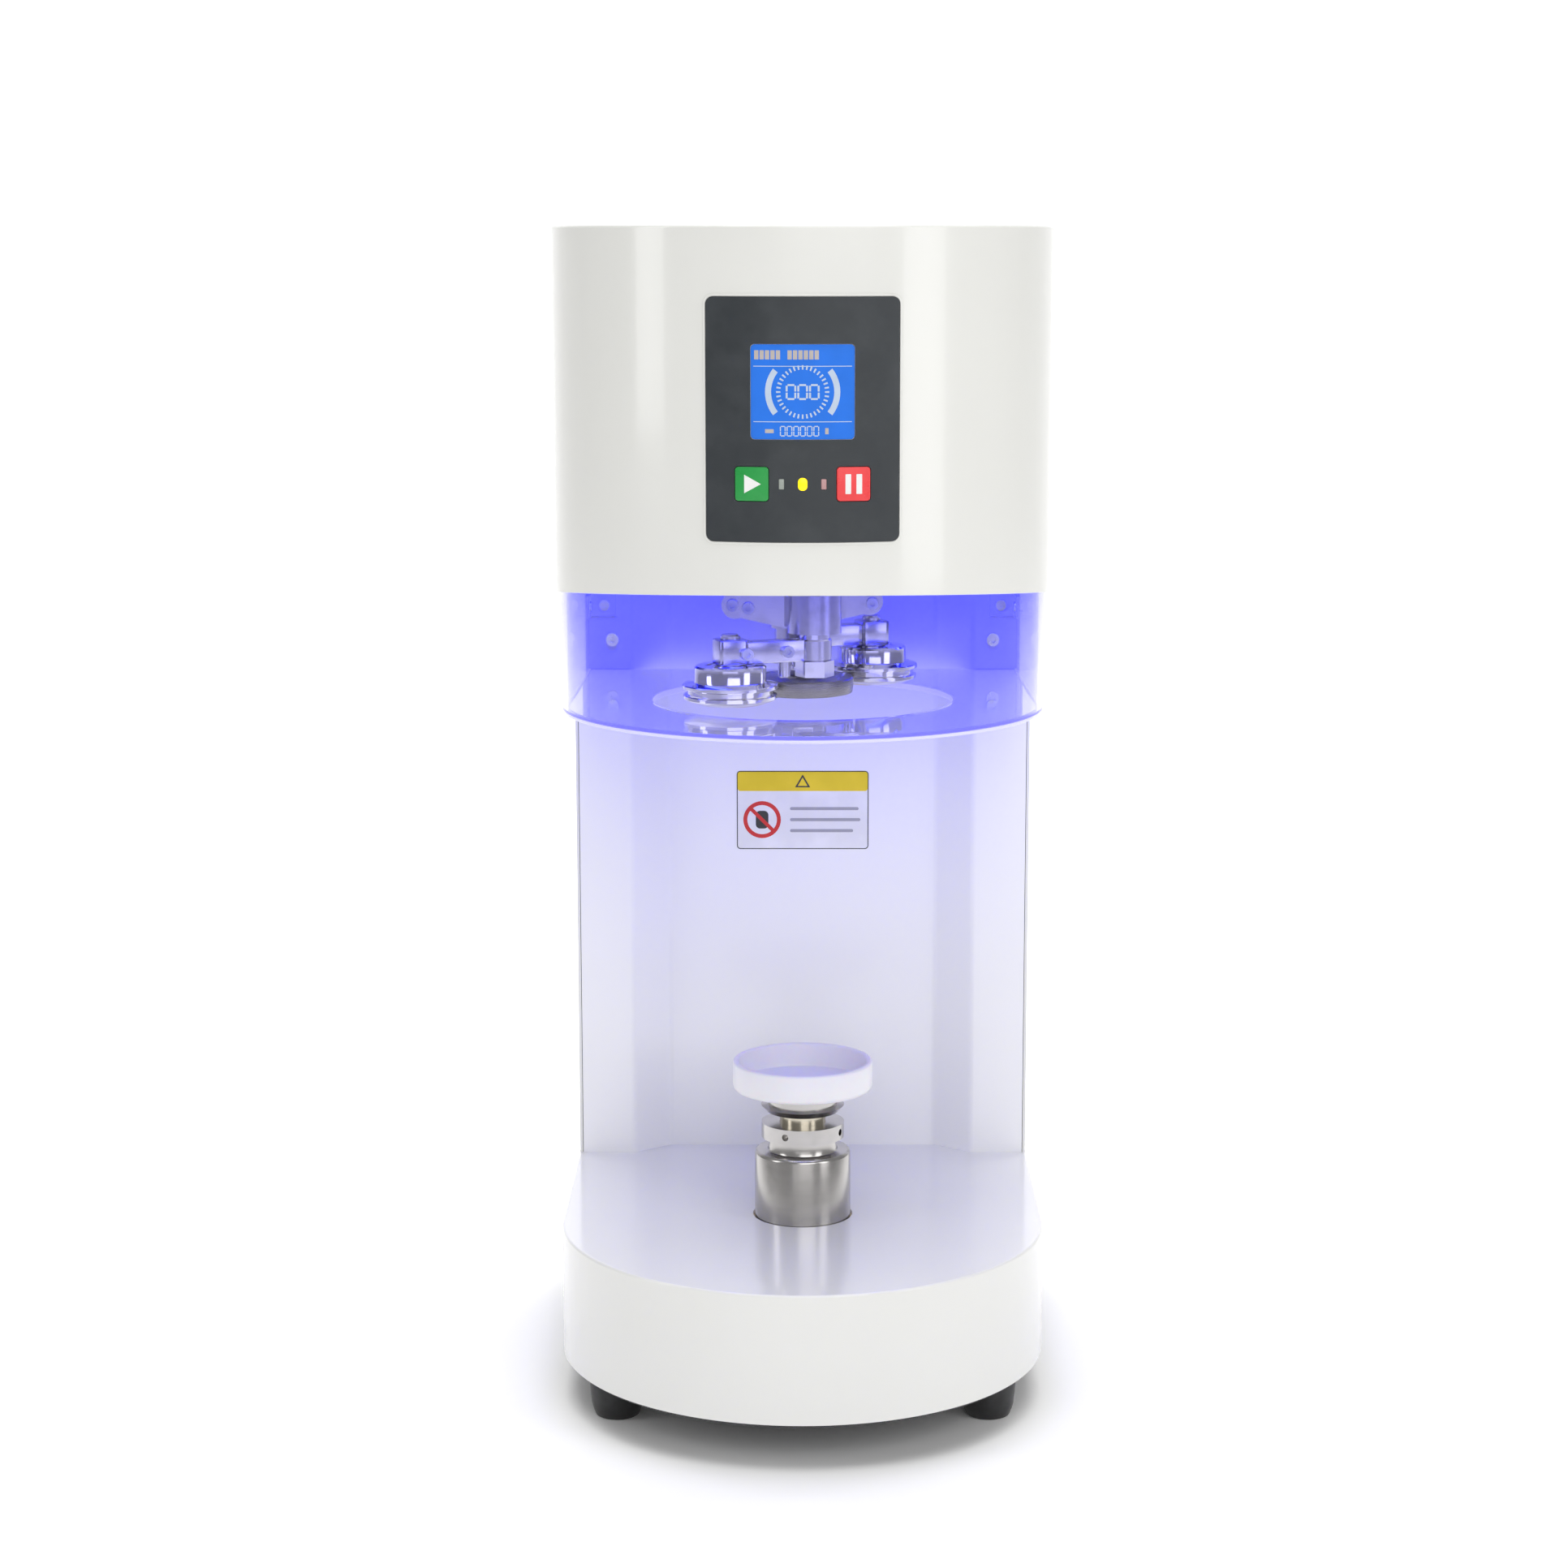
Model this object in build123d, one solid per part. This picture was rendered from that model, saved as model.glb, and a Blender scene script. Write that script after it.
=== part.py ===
from build123d import *
from math import acos, cos, degrees, hypot, pi, radians, sin, tan
import os

# Cup sealing machine. Millimetres, +Z up, front towards -Y.
# The origin is on the table, under the middle of the machine's outline.

# ---- covers ----
BODY_WIDTH = 250.0
SIDE_LENGTH = 185.0
OVERALL_HEIGHT = 601.0
SHEET = 1.5
BASE_SIDE_HEIGHT = 66.0
HEAD_FRONT_HEIGHT = 170.6
HEAD_EDGE_SLOPE = 5.15
EDGE_ROUND = 1.4
PART_GAP = 0.3

# ---- stand ----
FOOT_HEIGHT = 22.5
FOOT_TOP_R = 14.0
FOOT_TOE_R = 11.5
FOOT_INSET = 30.0
FOOT_FORWARD = 43.0
BOTTOM_PLATE = 2.0
PLATE_TUCK = 0.5
COLUMN_DEPTH = 61.0
FLANGE_WIDTH = 29.0
BEVEL_WIDTH = 19.5
RECESS_DEPTH = 16.0
COLUMN_SIDE_INSET = 0.7
POST_SIZE = 25.0
POST_WALL = 2.0
POST_INSET = 38.0
POST_FROM_BACK = 39.0
COVER_SCREW_MARGIN = 20.0
FLANGE_SCREW_RISE = 19.0
REAR_SCREW_INSET = 14.0
HEAD_SCREW_INSET = 54.0
VENT_LENGTH = 60.0
VENT_HEIGHT = 4.0
VENT_PITCH = 12.0
VENT_COUNT = 7

# ---- guard ----
GUARD_GAP = 1.5
GUARD_WALL = 3.0
GUARD_SHOWN = 70.4
GUARD_HOLE_R = 76.5
GUARD_RISE = 6.0
BRACKET_LEG = 16.0
BRACKET_HEIGHT = 12.0
BRACKET_DROP = 42.0
BRACKET_SHEET = 1.5

# ---- deck and drive ----
DECK_ABOVE_GUARD = 80.0
DECK_THICKNESS = 5.0
DECK_TUCK = 0.5
LED_WIDTH = 8.0
LED_INSET = 4.0
LED_THICKNESS = 2.5
LED_SPAN = 160.0
CUP_AXIS_BACK = 11.0
SHAFT_R = 5.0
SPINDLE_WALL = 3.95
SLEEVE_WALL = 2.95
BEARING_RING = 6.95
BEARING_WIDTH = 9.0
HOUSING_WALL = 4.0
HOUSING_FLANGE_WIDTH = 8.0
HOUSING_FLANGE = 6.0
HOUSING_HEIGHT = 50.0
HOUSING_DROP = 2.0
RUNNING_CLEARANCE = 0.05
BELT_PITCH = 3.0
BELT_WIDTH = 8.0
BELT_THICKNESS = 1.4
BELT_CLEARANCE = 0.3
PULLEY_FLANGE = 1.0
TEETH_DEPTH = 0.8
TURRET_TEETH = 54
CAM_TEETH = 52
MOTOR_TEETH = 18
PULLEY_SPACING = 13.0
DRIVE_CENTRES = 94.0
MOTOR_SHAFT_R = 4.0
HEAD_MOTOR_R = 32.0
MOTOR_TOP_GAP = 14.7
MOTOR_RIM = 2.0
BRIDGE_THICKNESS = 5.0
BRIDGE_CLEARANCE = 2.0
BRIDGE_MARGIN = 2.0
BRIDGE_LEG_R = 5.0
BRIDGE_LEG_X = 35.0
BRIDGE_LEG_FRONT = 12.0
BRIDGE_LEG_BACK = 128.0

# ---- seaming head ----
CHUCK_ABOVE_GUARD = 6.2
CHUCK_R = 26.0
CHUCK_HEIGHT = 8.0
CHUCK_HUB_R = 9.0
CHUCK_TAPER = 0.6
PIVOT_X = 6.0
PIVOT_Y = 25.0
ROLLER_ANGLE = 48.0
ROLLER_CLEAR = 3.8
ROLLER_BODY_R = 18.0
ROLLER_FLANGE_R = 24.0
ROLLER_HEIGHT = 19.0
ROLLER_BODY_HEIGHT = 8.5
ROLLER_PIN_R = 5.0
ROLLER_PIN_RISE = 6.0
ROLLER_PIN_PROUD = 4.0
ROLLER_BORE_RISE = 5.0
ROLLER_LIP = 0.8
ROLLER_LIP_EASE = 1.0
ROLLER_RIM = 2.2
ROLLER_WAIST = 3.0
ROLLER_WAIST_DEPTH = 2.6
ROLLER_FOOT_RIM = 2.0
ROLLER_FOOT_DEPTH = 0.6
ARM_GAP = 1.5
ARM_HEIGHT = 11.0
ARM_THICKNESS = 9.0
ARM_PIVOT_R = 8.5
ARM_CLAMP_R = 9.0
ARM_SHAFT_R = 6.0
ARM_NUT_FLATS = 17.0
ARM_NUT_HEIGHT = 8.0
WASHER_R = 7.5
WASHER_HEIGHT = 2.7
ARM_MIDDLE_SHARE = 0.36
ARM_CLAMP_SHARE = 0.87
ARM_CLAMP_FLAT = 1.0
ARM_CLAMP_PROUD = 1.5
ARM_SCREW_FACE = 4.0
STOP_PIN_R = 3.2
STOP_PIN_LENGTH = 8.0
TURRET_BOSS_R = 13.5
TURRET_HUB_R = 17.0
TURRET_HEIGHT = 19.5
WING_REACH = 34.0
WING_END_R = 7.0
WING_Z = 12.5
WING_FRONT = 15.0
WING_THICKNESS = 13.0
WING_EASE = 1.0
WING_FOOT = 0.5
WING_SCREW_LENGTH = 5.5
WING_SCREW_OUT = 1.5
WING_SCREW_IN = 6.5
WING_SCREW_DROP = 1.5
WING_REAR_DROP = 1.0
CROSS_STEP = 2.0
SPRING_R = 8.4
SPRING_WIRE = 2.0
SPRING_HEIGHT = 3.6
LEVER_HEIGHT = 8.0
LEVER_PIVOT_R = 9.0
LEVER_TIP_R = 6.5
FOLLOWER_X = 30.0
FOLLOWER_Y = 8.0
FOLLOWER_R = 6.0
FOLLOWER_HEIGHT = 6.0
FOLLOWER_PIN_R = 3.0
CAM_LIFT = 3.7
CAM_LOBE_R = 20.0
CAM_LOBE_ANGLE = 45.0
CAM_HEIGHT = 6.4

# ---- lift ----
CYLINDER_R = 25.0
CYLINDER_WALL = 5.0
CYLINDER_SHOWN = 35.0
CYLINDER_BELOW = 50.0
CYLINDER_CAP = 10.0
BASE_HOLE_GAP = 1.0
BUSH_WALL = 6.0
BUSH_FLANGE_WIDTH = 5.0
BUSH_FLANGE = 4.0
BUSH_HEIGHT = 43.0
SCREW_R = 5.0
SCREW_TOP_GAP = 12.0
NUT_HEIGHT = 12.0
LOCK_GROOVE_WALL = 5.95
LOCK_GROOVE = 7.0
LOCK_RING_WALL = 9.45
LOCK_RING_HEIGHT = 8.0
SPANNER_HOLE_R = 1.8
SPANNER_HOLE_DEPTH = 4.3
SPANNER_TURN = 65.0
STEM_R = 12.0
STEM_BELOW = 30.0
STEM_SHOWN = 11.0
COLLAR_R = 18.0
COLLAR_FOOT_R = 14.0
TRAY_FOOT_ROUND = 2.0
CYLINDER_CHAMFER = 1.0
COLLAR_HEIGHT = 6.5
TRAY_R = 36.35
TRAY_WALL = 3.1
TRAY_HEIGHT = 15.5
TRAY_FLOOR = 3.0
LIFT_MOTOR_BACK = 62.0
LIFT_MOTOR_SIZE = 42.0
LIFT_MOTOR_HEIGHT = 38.0
LIFT_PULLEY_TEETH = 24
LIFT_BELT_WIDTH = 6.0
LIFT_BRACKET_SHEET = 3.0
LIFT_TONGUE_WIDTH = 24.0
LIFT_MOTOR_CHAMFER = 4.0
LIFT_SHAFT_SHARE = 0.7
SCREW_BEARING_R = 16.0
SCREW_BEARING_HEIGHT = 6.5

# ---- controls ----
PANEL_WIDTH = 90.0
PANEL_HEIGHT = 113.0
PANEL_ABOVE_EDGE = 25.0
PANEL_CORNER = 3.5
OVERLAY = 0.8
WINDOW_WIDTH = 48.5
WINDOW_HEIGHT = 44.0
WINDOW_FROM_TOP = 43.5
WINDOW_CORNER = 2.0
WINDOW_REST = 3.0
KEY_SIZE = 15.8
KEY_CORNER = 1.6
KEY_ANGLE = 10.85
KEY_FROM_TOP = 86.0
KEY_PROUD = 0.3
KEY_DEPTH = 4.0
KEY_TRAVEL = 0.8
LAMP_SPACING = 9.8
LAMP_WIDTH = 4.4
LAMP_REACH = 2.0
LAMP_HEIGHT = 6.0
SIDE_LAMP_WIDTH = 2.6
SIDE_LAMP_HEIGHT = 5.0
LAMP_CORNER = 1.98
SIDE_LAMP_CORNER = 0.52
BOARD_BACK = 17.0
BOARD_THICKNESS = 1.6
BOARD_WIDTH = 84.0
BOARD_MARGIN = 3.0
SWITCH_GAP = 0.4
SWITCH_SIZE = 6.0
SWITCH_BACK_SHARE = 0.02
KEY_LIP = 2.0
KEY_LIP_THICKNESS = 1.0
BOARD_LEG_R = 2.5
BOARD_LEG_INSET = 4.0
DISPLAY_MARGIN = 2.0
DISPLAY_GAP = 1.2

# ---- electrics ----
INLET_WIDTH = 58.0
INLET_HEIGHT = 30.0
INLET_FLANGE = 2.0
INLET_BODY_DEPTH = 24.0
INLET_BODY_INSET = 5.0
SOCKET_WIDTH = 24.0
SOCKET_HEIGHT = 17.0
SOCKET_DEPTH = 16.0
SOCKET_X = -11.0
SOCKET_PIN_LENGTH = 10.0
SOCKET_PIN_WIDTH = 2.0
SOCKET_PIN_HEIGHT = 4.0
SOCKET_PIN_SPACING = 7.0
SOCKET_PIN_OFFSET = 2.0
ROCKER_X = 15.0
ROCKER_WIDTH = 12.0
ROCKER_HEIGHT = 18.0
ROCKER_DEPTH = 9.0
ROCKER_GAP = 0.9
ROCKER_ROOM = 3.0
ROCKER_TAIL = 4.0
ROCKER_TAPER = 1.0
ROCKER_PIN_R = 1.5
ROCKER_PIN_REACH = 1.2
ROCKER_TILT = 8.0
ROCKER_SINK = 1.5

FITTED_INSET = 25.0
FITTED_FRONT = 26.0
FITTED_LENGTH = 72.0
SUPPLY_WIDTH = 50.0
SUPPLY_HEIGHT = 36.0
DRIVER_WIDTH = 48.0
DRIVER_RISE = 6.0
HEAT_SINK_WIDTH = 18.0
HEAT_SINK_LENGTH = 22.0
HEAT_SINK_HEIGHT = 18.0
CAPACITOR_R = 6.0
CAPACITOR_HEIGHT = 20.0

# ---- screws ----
SCREW_HEAD_R = 3.6
SCREW_HEAD = 2.0
SCREW_SHANK_R = 2.0
SCREW_LENGTH = 7.0
SMALL_HEAD_R = 3.0
SMALL_HEAD = 2.6
SMALL_LENGTH = 6.0
GUARD_SCREW_R = 1.2
GUARD_SCREW_LENGTH = 9.0
GUARD_SCREW_HEAD = 1.0
GUARD_SCREW_HEAD_R = 3.0
GUARD_SCREW_ANGLE = 50.0
BRACKET_SCREW_SHARE = 0.6
SOCKET_SHARE = 0.5
SOCKET_FLOOR_SHARE = 0.4
CUT = 1.0
CUT_FAR = 10.0

# ---- worked-out places ----
HALF = BODY_WIDTH / 2
INNER = HALF - SHEET
SPINDLE_R = SHAFT_R + RUNNING_CLEARANCE + SPINDLE_WALL
SLEEVE_R = SPINDLE_R + RUNNING_CLEARANCE + SLEEVE_WALL
BEARING_R = SLEEVE_R + RUNNING_CLEARANCE + BEARING_RING
ARC_Y = (HALF + OVERLAY - SIDE_LENGTH - INLET_FLANGE) / 2
FRONT_Y = ARC_Y - HALF
BACK_Y = ARC_Y + SIDE_LENGTH
CUP_Y = ARC_Y + CUP_AXIS_BACK
FLANGE_Y = BACK_Y - COLUMN_DEPTH
COLUMN_BACK = BACK_Y - COLUMN_SIDE_INSET
COLUMN_HALF = HALF - COLUMN_SIDE_INSET
PANEL_HALF = COLUMN_HALF - SHEET - PART_GAP
BASE_BOTTOM = FOOT_HEIGHT + BOTTOM_PLATE - PLATE_TUCK
PLATE_TOP = FOOT_HEIGHT + BOTTOM_PLATE
BASE_TOP = BASE_BOTTOM + BASE_SIDE_HEIGHT
BASE_CEILING = BASE_TOP - SHEET
HEAD_EDGE_FRONT = OVERALL_HEIGHT - HEAD_FRONT_HEIGHT
GUARD_Z = HEAD_EDGE_FRONT - GUARD_SHOWN
GUARD_R = INNER - GUARD_GAP
GUARD_IN = GUARD_R - GUARD_WALL
DECK_Z = GUARD_Z + DECK_ABOVE_GUARD
DECK_TOP = DECK_Z + DECK_THICKNESS
DECK_R = GUARD_IN - DECK_TUCK
DECK_MIDDLE = DECK_Z + DECK_THICKNESS / 2
COLUMN_MIDDLE = (BASE_TOP + GUARD_Z) / 2
CHUCK_Z = GUARD_Z + CHUCK_ABOVE_GUARD
ROLLER_TOP = CHUCK_Z + ROLLER_HEIGHT
ARM_Z = ROLLER_TOP + ARM_GAP - 3 * PART_GAP
ARM_TOP = ARM_Z + ARM_HEIGHT
TURRET_Z = ARM_TOP + WASHER_HEIGHT + PART_GAP
TURRET_TOP = TURRET_Z + TURRET_HEIGHT
LEVER_Z = TURRET_TOP + SPRING_HEIGHT + 2 * PART_GAP
LEVER_TOP = LEVER_Z + LEVER_HEIGHT
CAM_Z = LEVER_TOP + PART_GAP
HOUSING_Z = CAM_Z + CAM_HEIGHT + PART_GAP
HOUSING_R = BEARING_R + HOUSING_WALL
HOUSING_TOP = DECK_TOP + HOUSING_HEIGHT
CAM_PULLEY_Z = HOUSING_TOP + 4 * PART_GAP
TURRET_PULLEY_Z = CAM_PULLEY_Z + PULLEY_SPACING
PULLEY_WIDTH = BELT_WIDTH + 2 * PULLEY_FLANGE + 2 * PART_GAP
BRIDGE_Z = TURRET_PULLEY_Z + PULLEY_WIDTH + BRIDGE_CLEARANCE
BRIDGE_TOP = BRIDGE_Z + BRIDGE_THICKNESS
MOTOR_TOP = OVERALL_HEIGHT - SHEET - MOTOR_TOP_GAP
MOTOR_SHAFT_TOP = (BRIDGE_TOP + MOTOR_TOP) / 2
DRIVE_Y = CUP_Y + DRIVE_CENTRES
PIVOTS = {"first": (PIVOT_X, CUP_Y - PIVOT_Y), "second": (-PIVOT_X, CUP_Y + PIVOT_Y)}
ROLLER_REACH = CHUCK_R + ROLLER_CLEAR + ROLLER_FLANGE_R
ROLLER_X = ROLLER_REACH * cos(radians(ROLLER_ANGLE))
ROLLER_Y = ROLLER_REACH * sin(radians(ROLLER_ANGLE))
ROLLERS = {"first": (-ROLLER_X, CUP_Y - ROLLER_Y), "second": (ROLLER_X, CUP_Y + ROLLER_Y)}
FOLLOWERS = {"first": (FOLLOWER_X, CUP_Y - FOLLOWER_Y), "second": (-FOLLOWER_X, CUP_Y + FOLLOWER_Y)}
CAM_BASE_R = hypot(FOLLOWER_X, FOLLOWER_Y) - FOLLOWER_R - PART_GAP
CYLINDER_TOP = BASE_TOP + CYLINDER_SHOWN
LOCK_GROOVE_R = STEM_R + RUNNING_CLEARANCE + LOCK_GROOVE_WALL
LOCK_RING_R = STEM_R + RUNNING_CLEARANCE + LOCK_RING_WALL
CYLINDER_FOOT = BASE_TOP - CYLINDER_BELOW
RING_Z = CYLINDER_TOP + LOCK_GROOVE
RING_TOP = RING_Z + LOCK_RING_HEIGHT
COLLAR_Z = RING_TOP + STEM_SHOWN
TRAY_Z = COLLAR_Z + COLLAR_HEIGHT
LIFT_MOTOR_Y = CUP_Y + LIFT_MOTOR_BACK
LIFT_PULLEY_Z = PLATE_TOP + SCREW_BEARING_HEIGHT + PART_GAP
LIFT_PULLEY_TOP = LIFT_PULLEY_Z + LIFT_BELT_WIDTH + 2 * PULLEY_FLANGE
PANEL_Z = HEAD_EDGE_FRONT + PANEL_ABOVE_EDGE
PANEL_TOP = PANEL_Z + PANEL_HEIGHT
WINDOW_Z = PANEL_TOP - WINDOW_FROM_TOP
KEY_Z = PANEL_TOP - KEY_FROM_TOP
DISPLAY_HALF = WINDOW_WIDTH / 2 - DISPLAY_MARGIN
INLET_Z = BASE_BOTTOM + BASE_SIDE_HEIGHT / 2

UP = (0, 0, 1)
FRONT = (0, -1, 0)
REAR = (0, 1, 0)


# ---- shapes used by many pieces ----
def disc(radius, low, high, at=(0.0, 0.0)):
    """Upright cylinder between two heights."""
    lift = (Align.CENTER, Align.CENTER, Align.MIN)
    return Pos(at[0], at[1], low) * Cylinder(radius, high - low, align=lift)


def ring(outer, inner, low, high, at=(0.0, 0.0)):
    """Upright tube between two heights."""
    return disc(outer, low, high, at) - disc(inner, low - CUT, high + CUT, at)


def cone(low_r, high_r, low, high, at=(0.0, 0.0)):
    """Upright cone between two heights."""
    lift = (Align.CENTER, Align.CENTER, Align.MIN)
    return Pos(at[0], at[1], low) * Cone(low_r, high_r, high - low, align=lift)


def block(x_span, y_span, z_span):
    """Box given by its limits along each axis."""
    low = (x_span[0], y_span[0], z_span[0])
    size = (x_span[1] - x_span[0], y_span[1] - y_span[0], z_span[1] - z_span[0])
    return Pos(*low) * Box(*size, align=(Align.MIN, Align.MIN, Align.MIN))


def along(radius, start, direction, length):
    """Cylinder from a point along any direction."""
    place = Plane(origin=start, z_dir=direction).location
    return place * Cylinder(radius, length, align=(Align.CENTER, Align.CENTER, Align.MIN))


def hexagon(flats, low, high, at):
    """Upright hexagonal prism."""
    outline = RegularPolygon(flats / 2, 6, major_radius=False)
    return Pos(at[0], at[1], low) * extrude(outline, amount=high - low)


def d_solid(half_width, back, low, high):
    """Solid with a half-round front and straight sides."""
    left = Line((-half_width, back), (-half_width, ARC_Y))
    front = ThreePointArc((-half_width, ARC_Y), (0, ARC_Y - half_width), (half_width, ARC_Y))
    right = Line((half_width, ARC_Y), (half_width, back))
    rear = Line((half_width, back), (-half_width, back))
    face = Pos(0, 0, low) * make_face([left, front, right, rear])
    return extrude(face, amount=high - low, dir=UP)


def flat_prism(points, low, high):
    """Upright prism over a polygon in plan."""
    face = Pos(0, 0, low) * make_face(Polyline(*points, close=True))
    return extrude(face, amount=high - low, dir=UP)


def side_prism(points, x_low, x_high):
    """Prism across the machine over a polygon of (y, z) points."""
    face = make_face(Polyline(*[(x_low, y, z) for y, z in points], close=True))
    return extrude(face, amount=x_high - x_low, dir=(1, 0, 0))


def bar(start, end, width, low, high):
    """Flat bar between two upright axes."""
    length = hypot(end[0] - start[0], end[1] - start[1])
    side_x = -(end[1] - start[1]) / length * width / 2
    side_y = (end[0] - start[0]) / length * width / 2
    corners = [(start[0] + side_x, start[1] + side_y), (end[0] + side_x, end[1] + side_y)]
    corners += [(end[0] - side_x, end[1] - side_y), (start[0] - side_x, start[1] - side_y)]
    return flat_prism(corners, low, high)


def on_front(width, height, z, near, far, corner, angle=0.0):
    """Rounded bar that points out of the round front, between two radii."""
    plane = Plane(origin=(0, ARC_Y - near, z), x_dir=(1, 0, 0), z_dir=FRONT)
    bar_out = extrude(plane * RectangleRounded(width, height, corner), amount=far - near)
    return Pos(0, ARC_Y, 0) * Rot(0, 0, angle) * Pos(0, -ARC_Y, 0) * bar_out


def turned(shape):
    """The same shape on the other side of the cup axis."""
    return Pos(0, CUP_Y, 0) * Rot(0, 0, 180) * Pos(0, -CUP_Y, 0) * shape


def mirrored(shape):
    """The shape and its mirror image in the machine's middle plane."""
    return [shape, mirror(shape, about=Plane.YZ)]


def screw(head_r, head, shank_r, length, seat, direction):
    """Socket screw that seats at a point, its head towards a direction."""
    away = tuple(-value for value in direction)
    body = along(head_r, seat, direction, head)
    body += along(shank_r, seat, away, length)
    place = Plane(origin=seat, z_dir=direction).location
    socket = extrude(RegularPolygon(head_r * SOCKET_SHARE, 6), amount=head)
    return body - place * Pos(0, 0, head * SOCKET_FLOOR_SHARE) * socket


def shank(shank_r, length, seat, direction):
    """Hole for the shank of a screw."""
    away = tuple(-value for value in direction)
    return along(shank_r, seat, away, length)


def pulley(teeth, low, width, at, bore, flanges=True):
    """Toothed pulley between two heights."""
    outer = pulley_r(teeth)
    body = disc(outer, low, low + width, at)
    for index in range(teeth):
        turn = radians(360.0 * index / teeth)
        notch = (at[0] + outer * cos(turn), at[1] + outer * sin(turn))
        body -= disc(TEETH_DEPTH, low - CUT, low + width + CUT, notch)
    if flanges:
        body += disc(outer + BELT_THICKNESS, low, low + PULLEY_FLANGE, at)
        body += disc(outer + BELT_THICKNESS, low + width - PULLEY_FLANGE, low + width, at)
    return body - disc(bore, low - CUT, low + width + CUT, at) if bore else body


def pulley_r(teeth):
    """Outer radius of a toothed pulley."""
    return teeth * BELT_PITCH / (2 * pi)


def belt(first, first_r, second, second_r, low, width):
    """Closed belt round two upright axes that lie one behind the other."""
    loops = []
    for extra in (BELT_CLEARANCE + BELT_THICKNESS, BELT_CLEARANCE):
        near = first_r + extra
        far = second_r + extra
        span = hypot(second[0] - first[0], second[1] - first[1])
        lean = acos((near - far) / span)
        side = (sin(lean), cos(lean))
        corners = []
        ends = ((first, near, 1), (second, far, 1), (second, far, -1), (first, near, -1))
        for centre, radius, sign in ends:
            corners.append((centre[0] + sign * radius * side[0], centre[1] + radius * side[1]))
        loop = flat_prism(corners, low, low + width)
        loop += disc(near, low, low + width, first)
        loop += disc(far, low, low + width, second)
        loops.append(loop)
    return loops[0] - loops[1]


def head_edge(y):
    """Height of the head cover's sloping lower edge."""
    return HEAD_EDGE_FRONT - (y - FRONT_Y) * tan(radians(HEAD_EDGE_SLOPE))


def below_edge(drop):
    """Everything under the head's sloping edge, lowered by a gap."""
    start = FRONT_Y - CUT_FAR
    end = BACK_Y + CUT_FAR
    points = [(start, head_edge(start) - drop), (end, head_edge(end) - drop), (end, 0.0), (start, 0.0)]
    return side_prism(points, -BODY_WIDTH, BODY_WIDTH)


# ---- screws that hold the covers ----
def cover_screw_seats():
    """Seat and direction of every cover screw."""
    seats = []
    for side in (-1, 1):
        for z in (GUARD_Z + FLANGE_SCREW_RISE, GUARD_Z - COVER_SCREW_MARGIN):
            seats.append(((side * (HALF - COVER_SCREW_MARGIN), FLANGE_Y, z), FRONT))
        for z in (BASE_TOP + COVER_SCREW_MARGIN, COLUMN_MIDDLE, GUARD_Z - COVER_SCREW_MARGIN):
            seats.append(((side * (COLUMN_HALF - REAR_SCREW_INSET), COLUMN_BACK, z), REAR))
        seats.append(((side * (COLUMN_HALF - HEAD_SCREW_INSET), BACK_Y, DECK_MIDDLE), REAR))
    return seats


def cover_screw_holes():
    """Holes for the cover screws."""
    return [shank(SCREW_SHANK_R, SCREW_LENGTH, seat, way) for seat, way in cover_screw_seats()]


def guard_screw_seats():
    """Seat and direction of every guard screw."""
    seats = []
    z = DECK_Z - BRACKET_DROP
    along_leg = BRACKET_LEG * BRACKET_SCREW_SHARE
    for side in (-1, 1):
        seats.append(((side * (GUARD_IN - along_leg), FLANGE_Y - BRACKET_SHEET, z), FRONT))
        seats.append(((side * (GUARD_IN - BRACKET_SHEET), FLANGE_Y - along_leg, z), (-side, 0, 0)))
    for angle in (-GUARD_SCREW_ANGLE, 0.0, GUARD_SCREW_ANGLE):
        way = (sin(radians(angle)), -cos(radians(angle)), 0)
        seat = (GUARD_R * way[0], ARC_Y + GUARD_R * way[1], DECK_MIDDLE)
        seats.append((seat, way))
    return seats


def guard_screw_holes():
    """Holes for the guard screws; the bracket screws are shorter."""
    holes = []
    for seat, way in guard_screw_seats():
        holes.append(shank(GUARD_SCREW_R, guard_screw_length(seat), seat, way))
    return holes


def guard_screw_length(seat):
    """Length of the guard screw at a seat."""
    return GUARD_SCREW_LENGTH if seat[2] > DECK_Z else BRACKET_SHEET + GUARD_WALL - CUT


# ---- stand ----
def foot_places():
    """Plan places of the four feet."""
    x = HALF - FOOT_INSET
    return [(side * x, y) for side in (-1, 1) for y in (ARC_Y - FOOT_FORWARD, BACK_Y - FOOT_INSET)]


def post_place(side):
    """Plan place of one column post's axis."""
    return side * (HALF - POST_INSET + POST_SIZE / 2), BACK_Y - POST_FROM_BACK + POST_SIZE / 2


def post_solid(side, grow, low, high):
    """Square bar on a post's axis, grown all round."""
    x, y = post_place(side)
    reach = POST_SIZE / 2 + grow
    return block((x - reach, x + reach), (y - reach, y + reach), (low, high))


def make_base_shell():
    """Sheet shell of the base, open below."""
    outer = d_solid(HALF, BACK_Y, BASE_BOTTOM, BASE_TOP)
    outer = fillet(outer.edges().group_by(Axis.Z)[-1], EDGE_ROUND)
    shell = outer - d_solid(INNER, BACK_Y - SHEET, BASE_BOTTOM - CUT, BASE_CEILING)
    shell -= disc(CYLINDER_R + BASE_HOLE_GAP, BASE_CEILING - CUT, BASE_TOP + CUT, (0, CUP_Y))
    for side in (-1, 1):
        shell -= post_solid(side, PART_GAP, BASE_CEILING - CUT, BASE_TOP + CUT)
    return shell - inlet_body(PART_GAP)


def make_bottom_plate():
    """Plate that closes the base."""
    plate = d_solid(INNER - PART_GAP, BACK_Y - SHEET - PART_GAP, FOOT_HEIGHT, PLATE_TOP)
    for place in foot_places():
        plate -= disc(SCREW_SHANK_R, 0, PLATE_TOP + CUT, place)
    return plate


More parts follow.
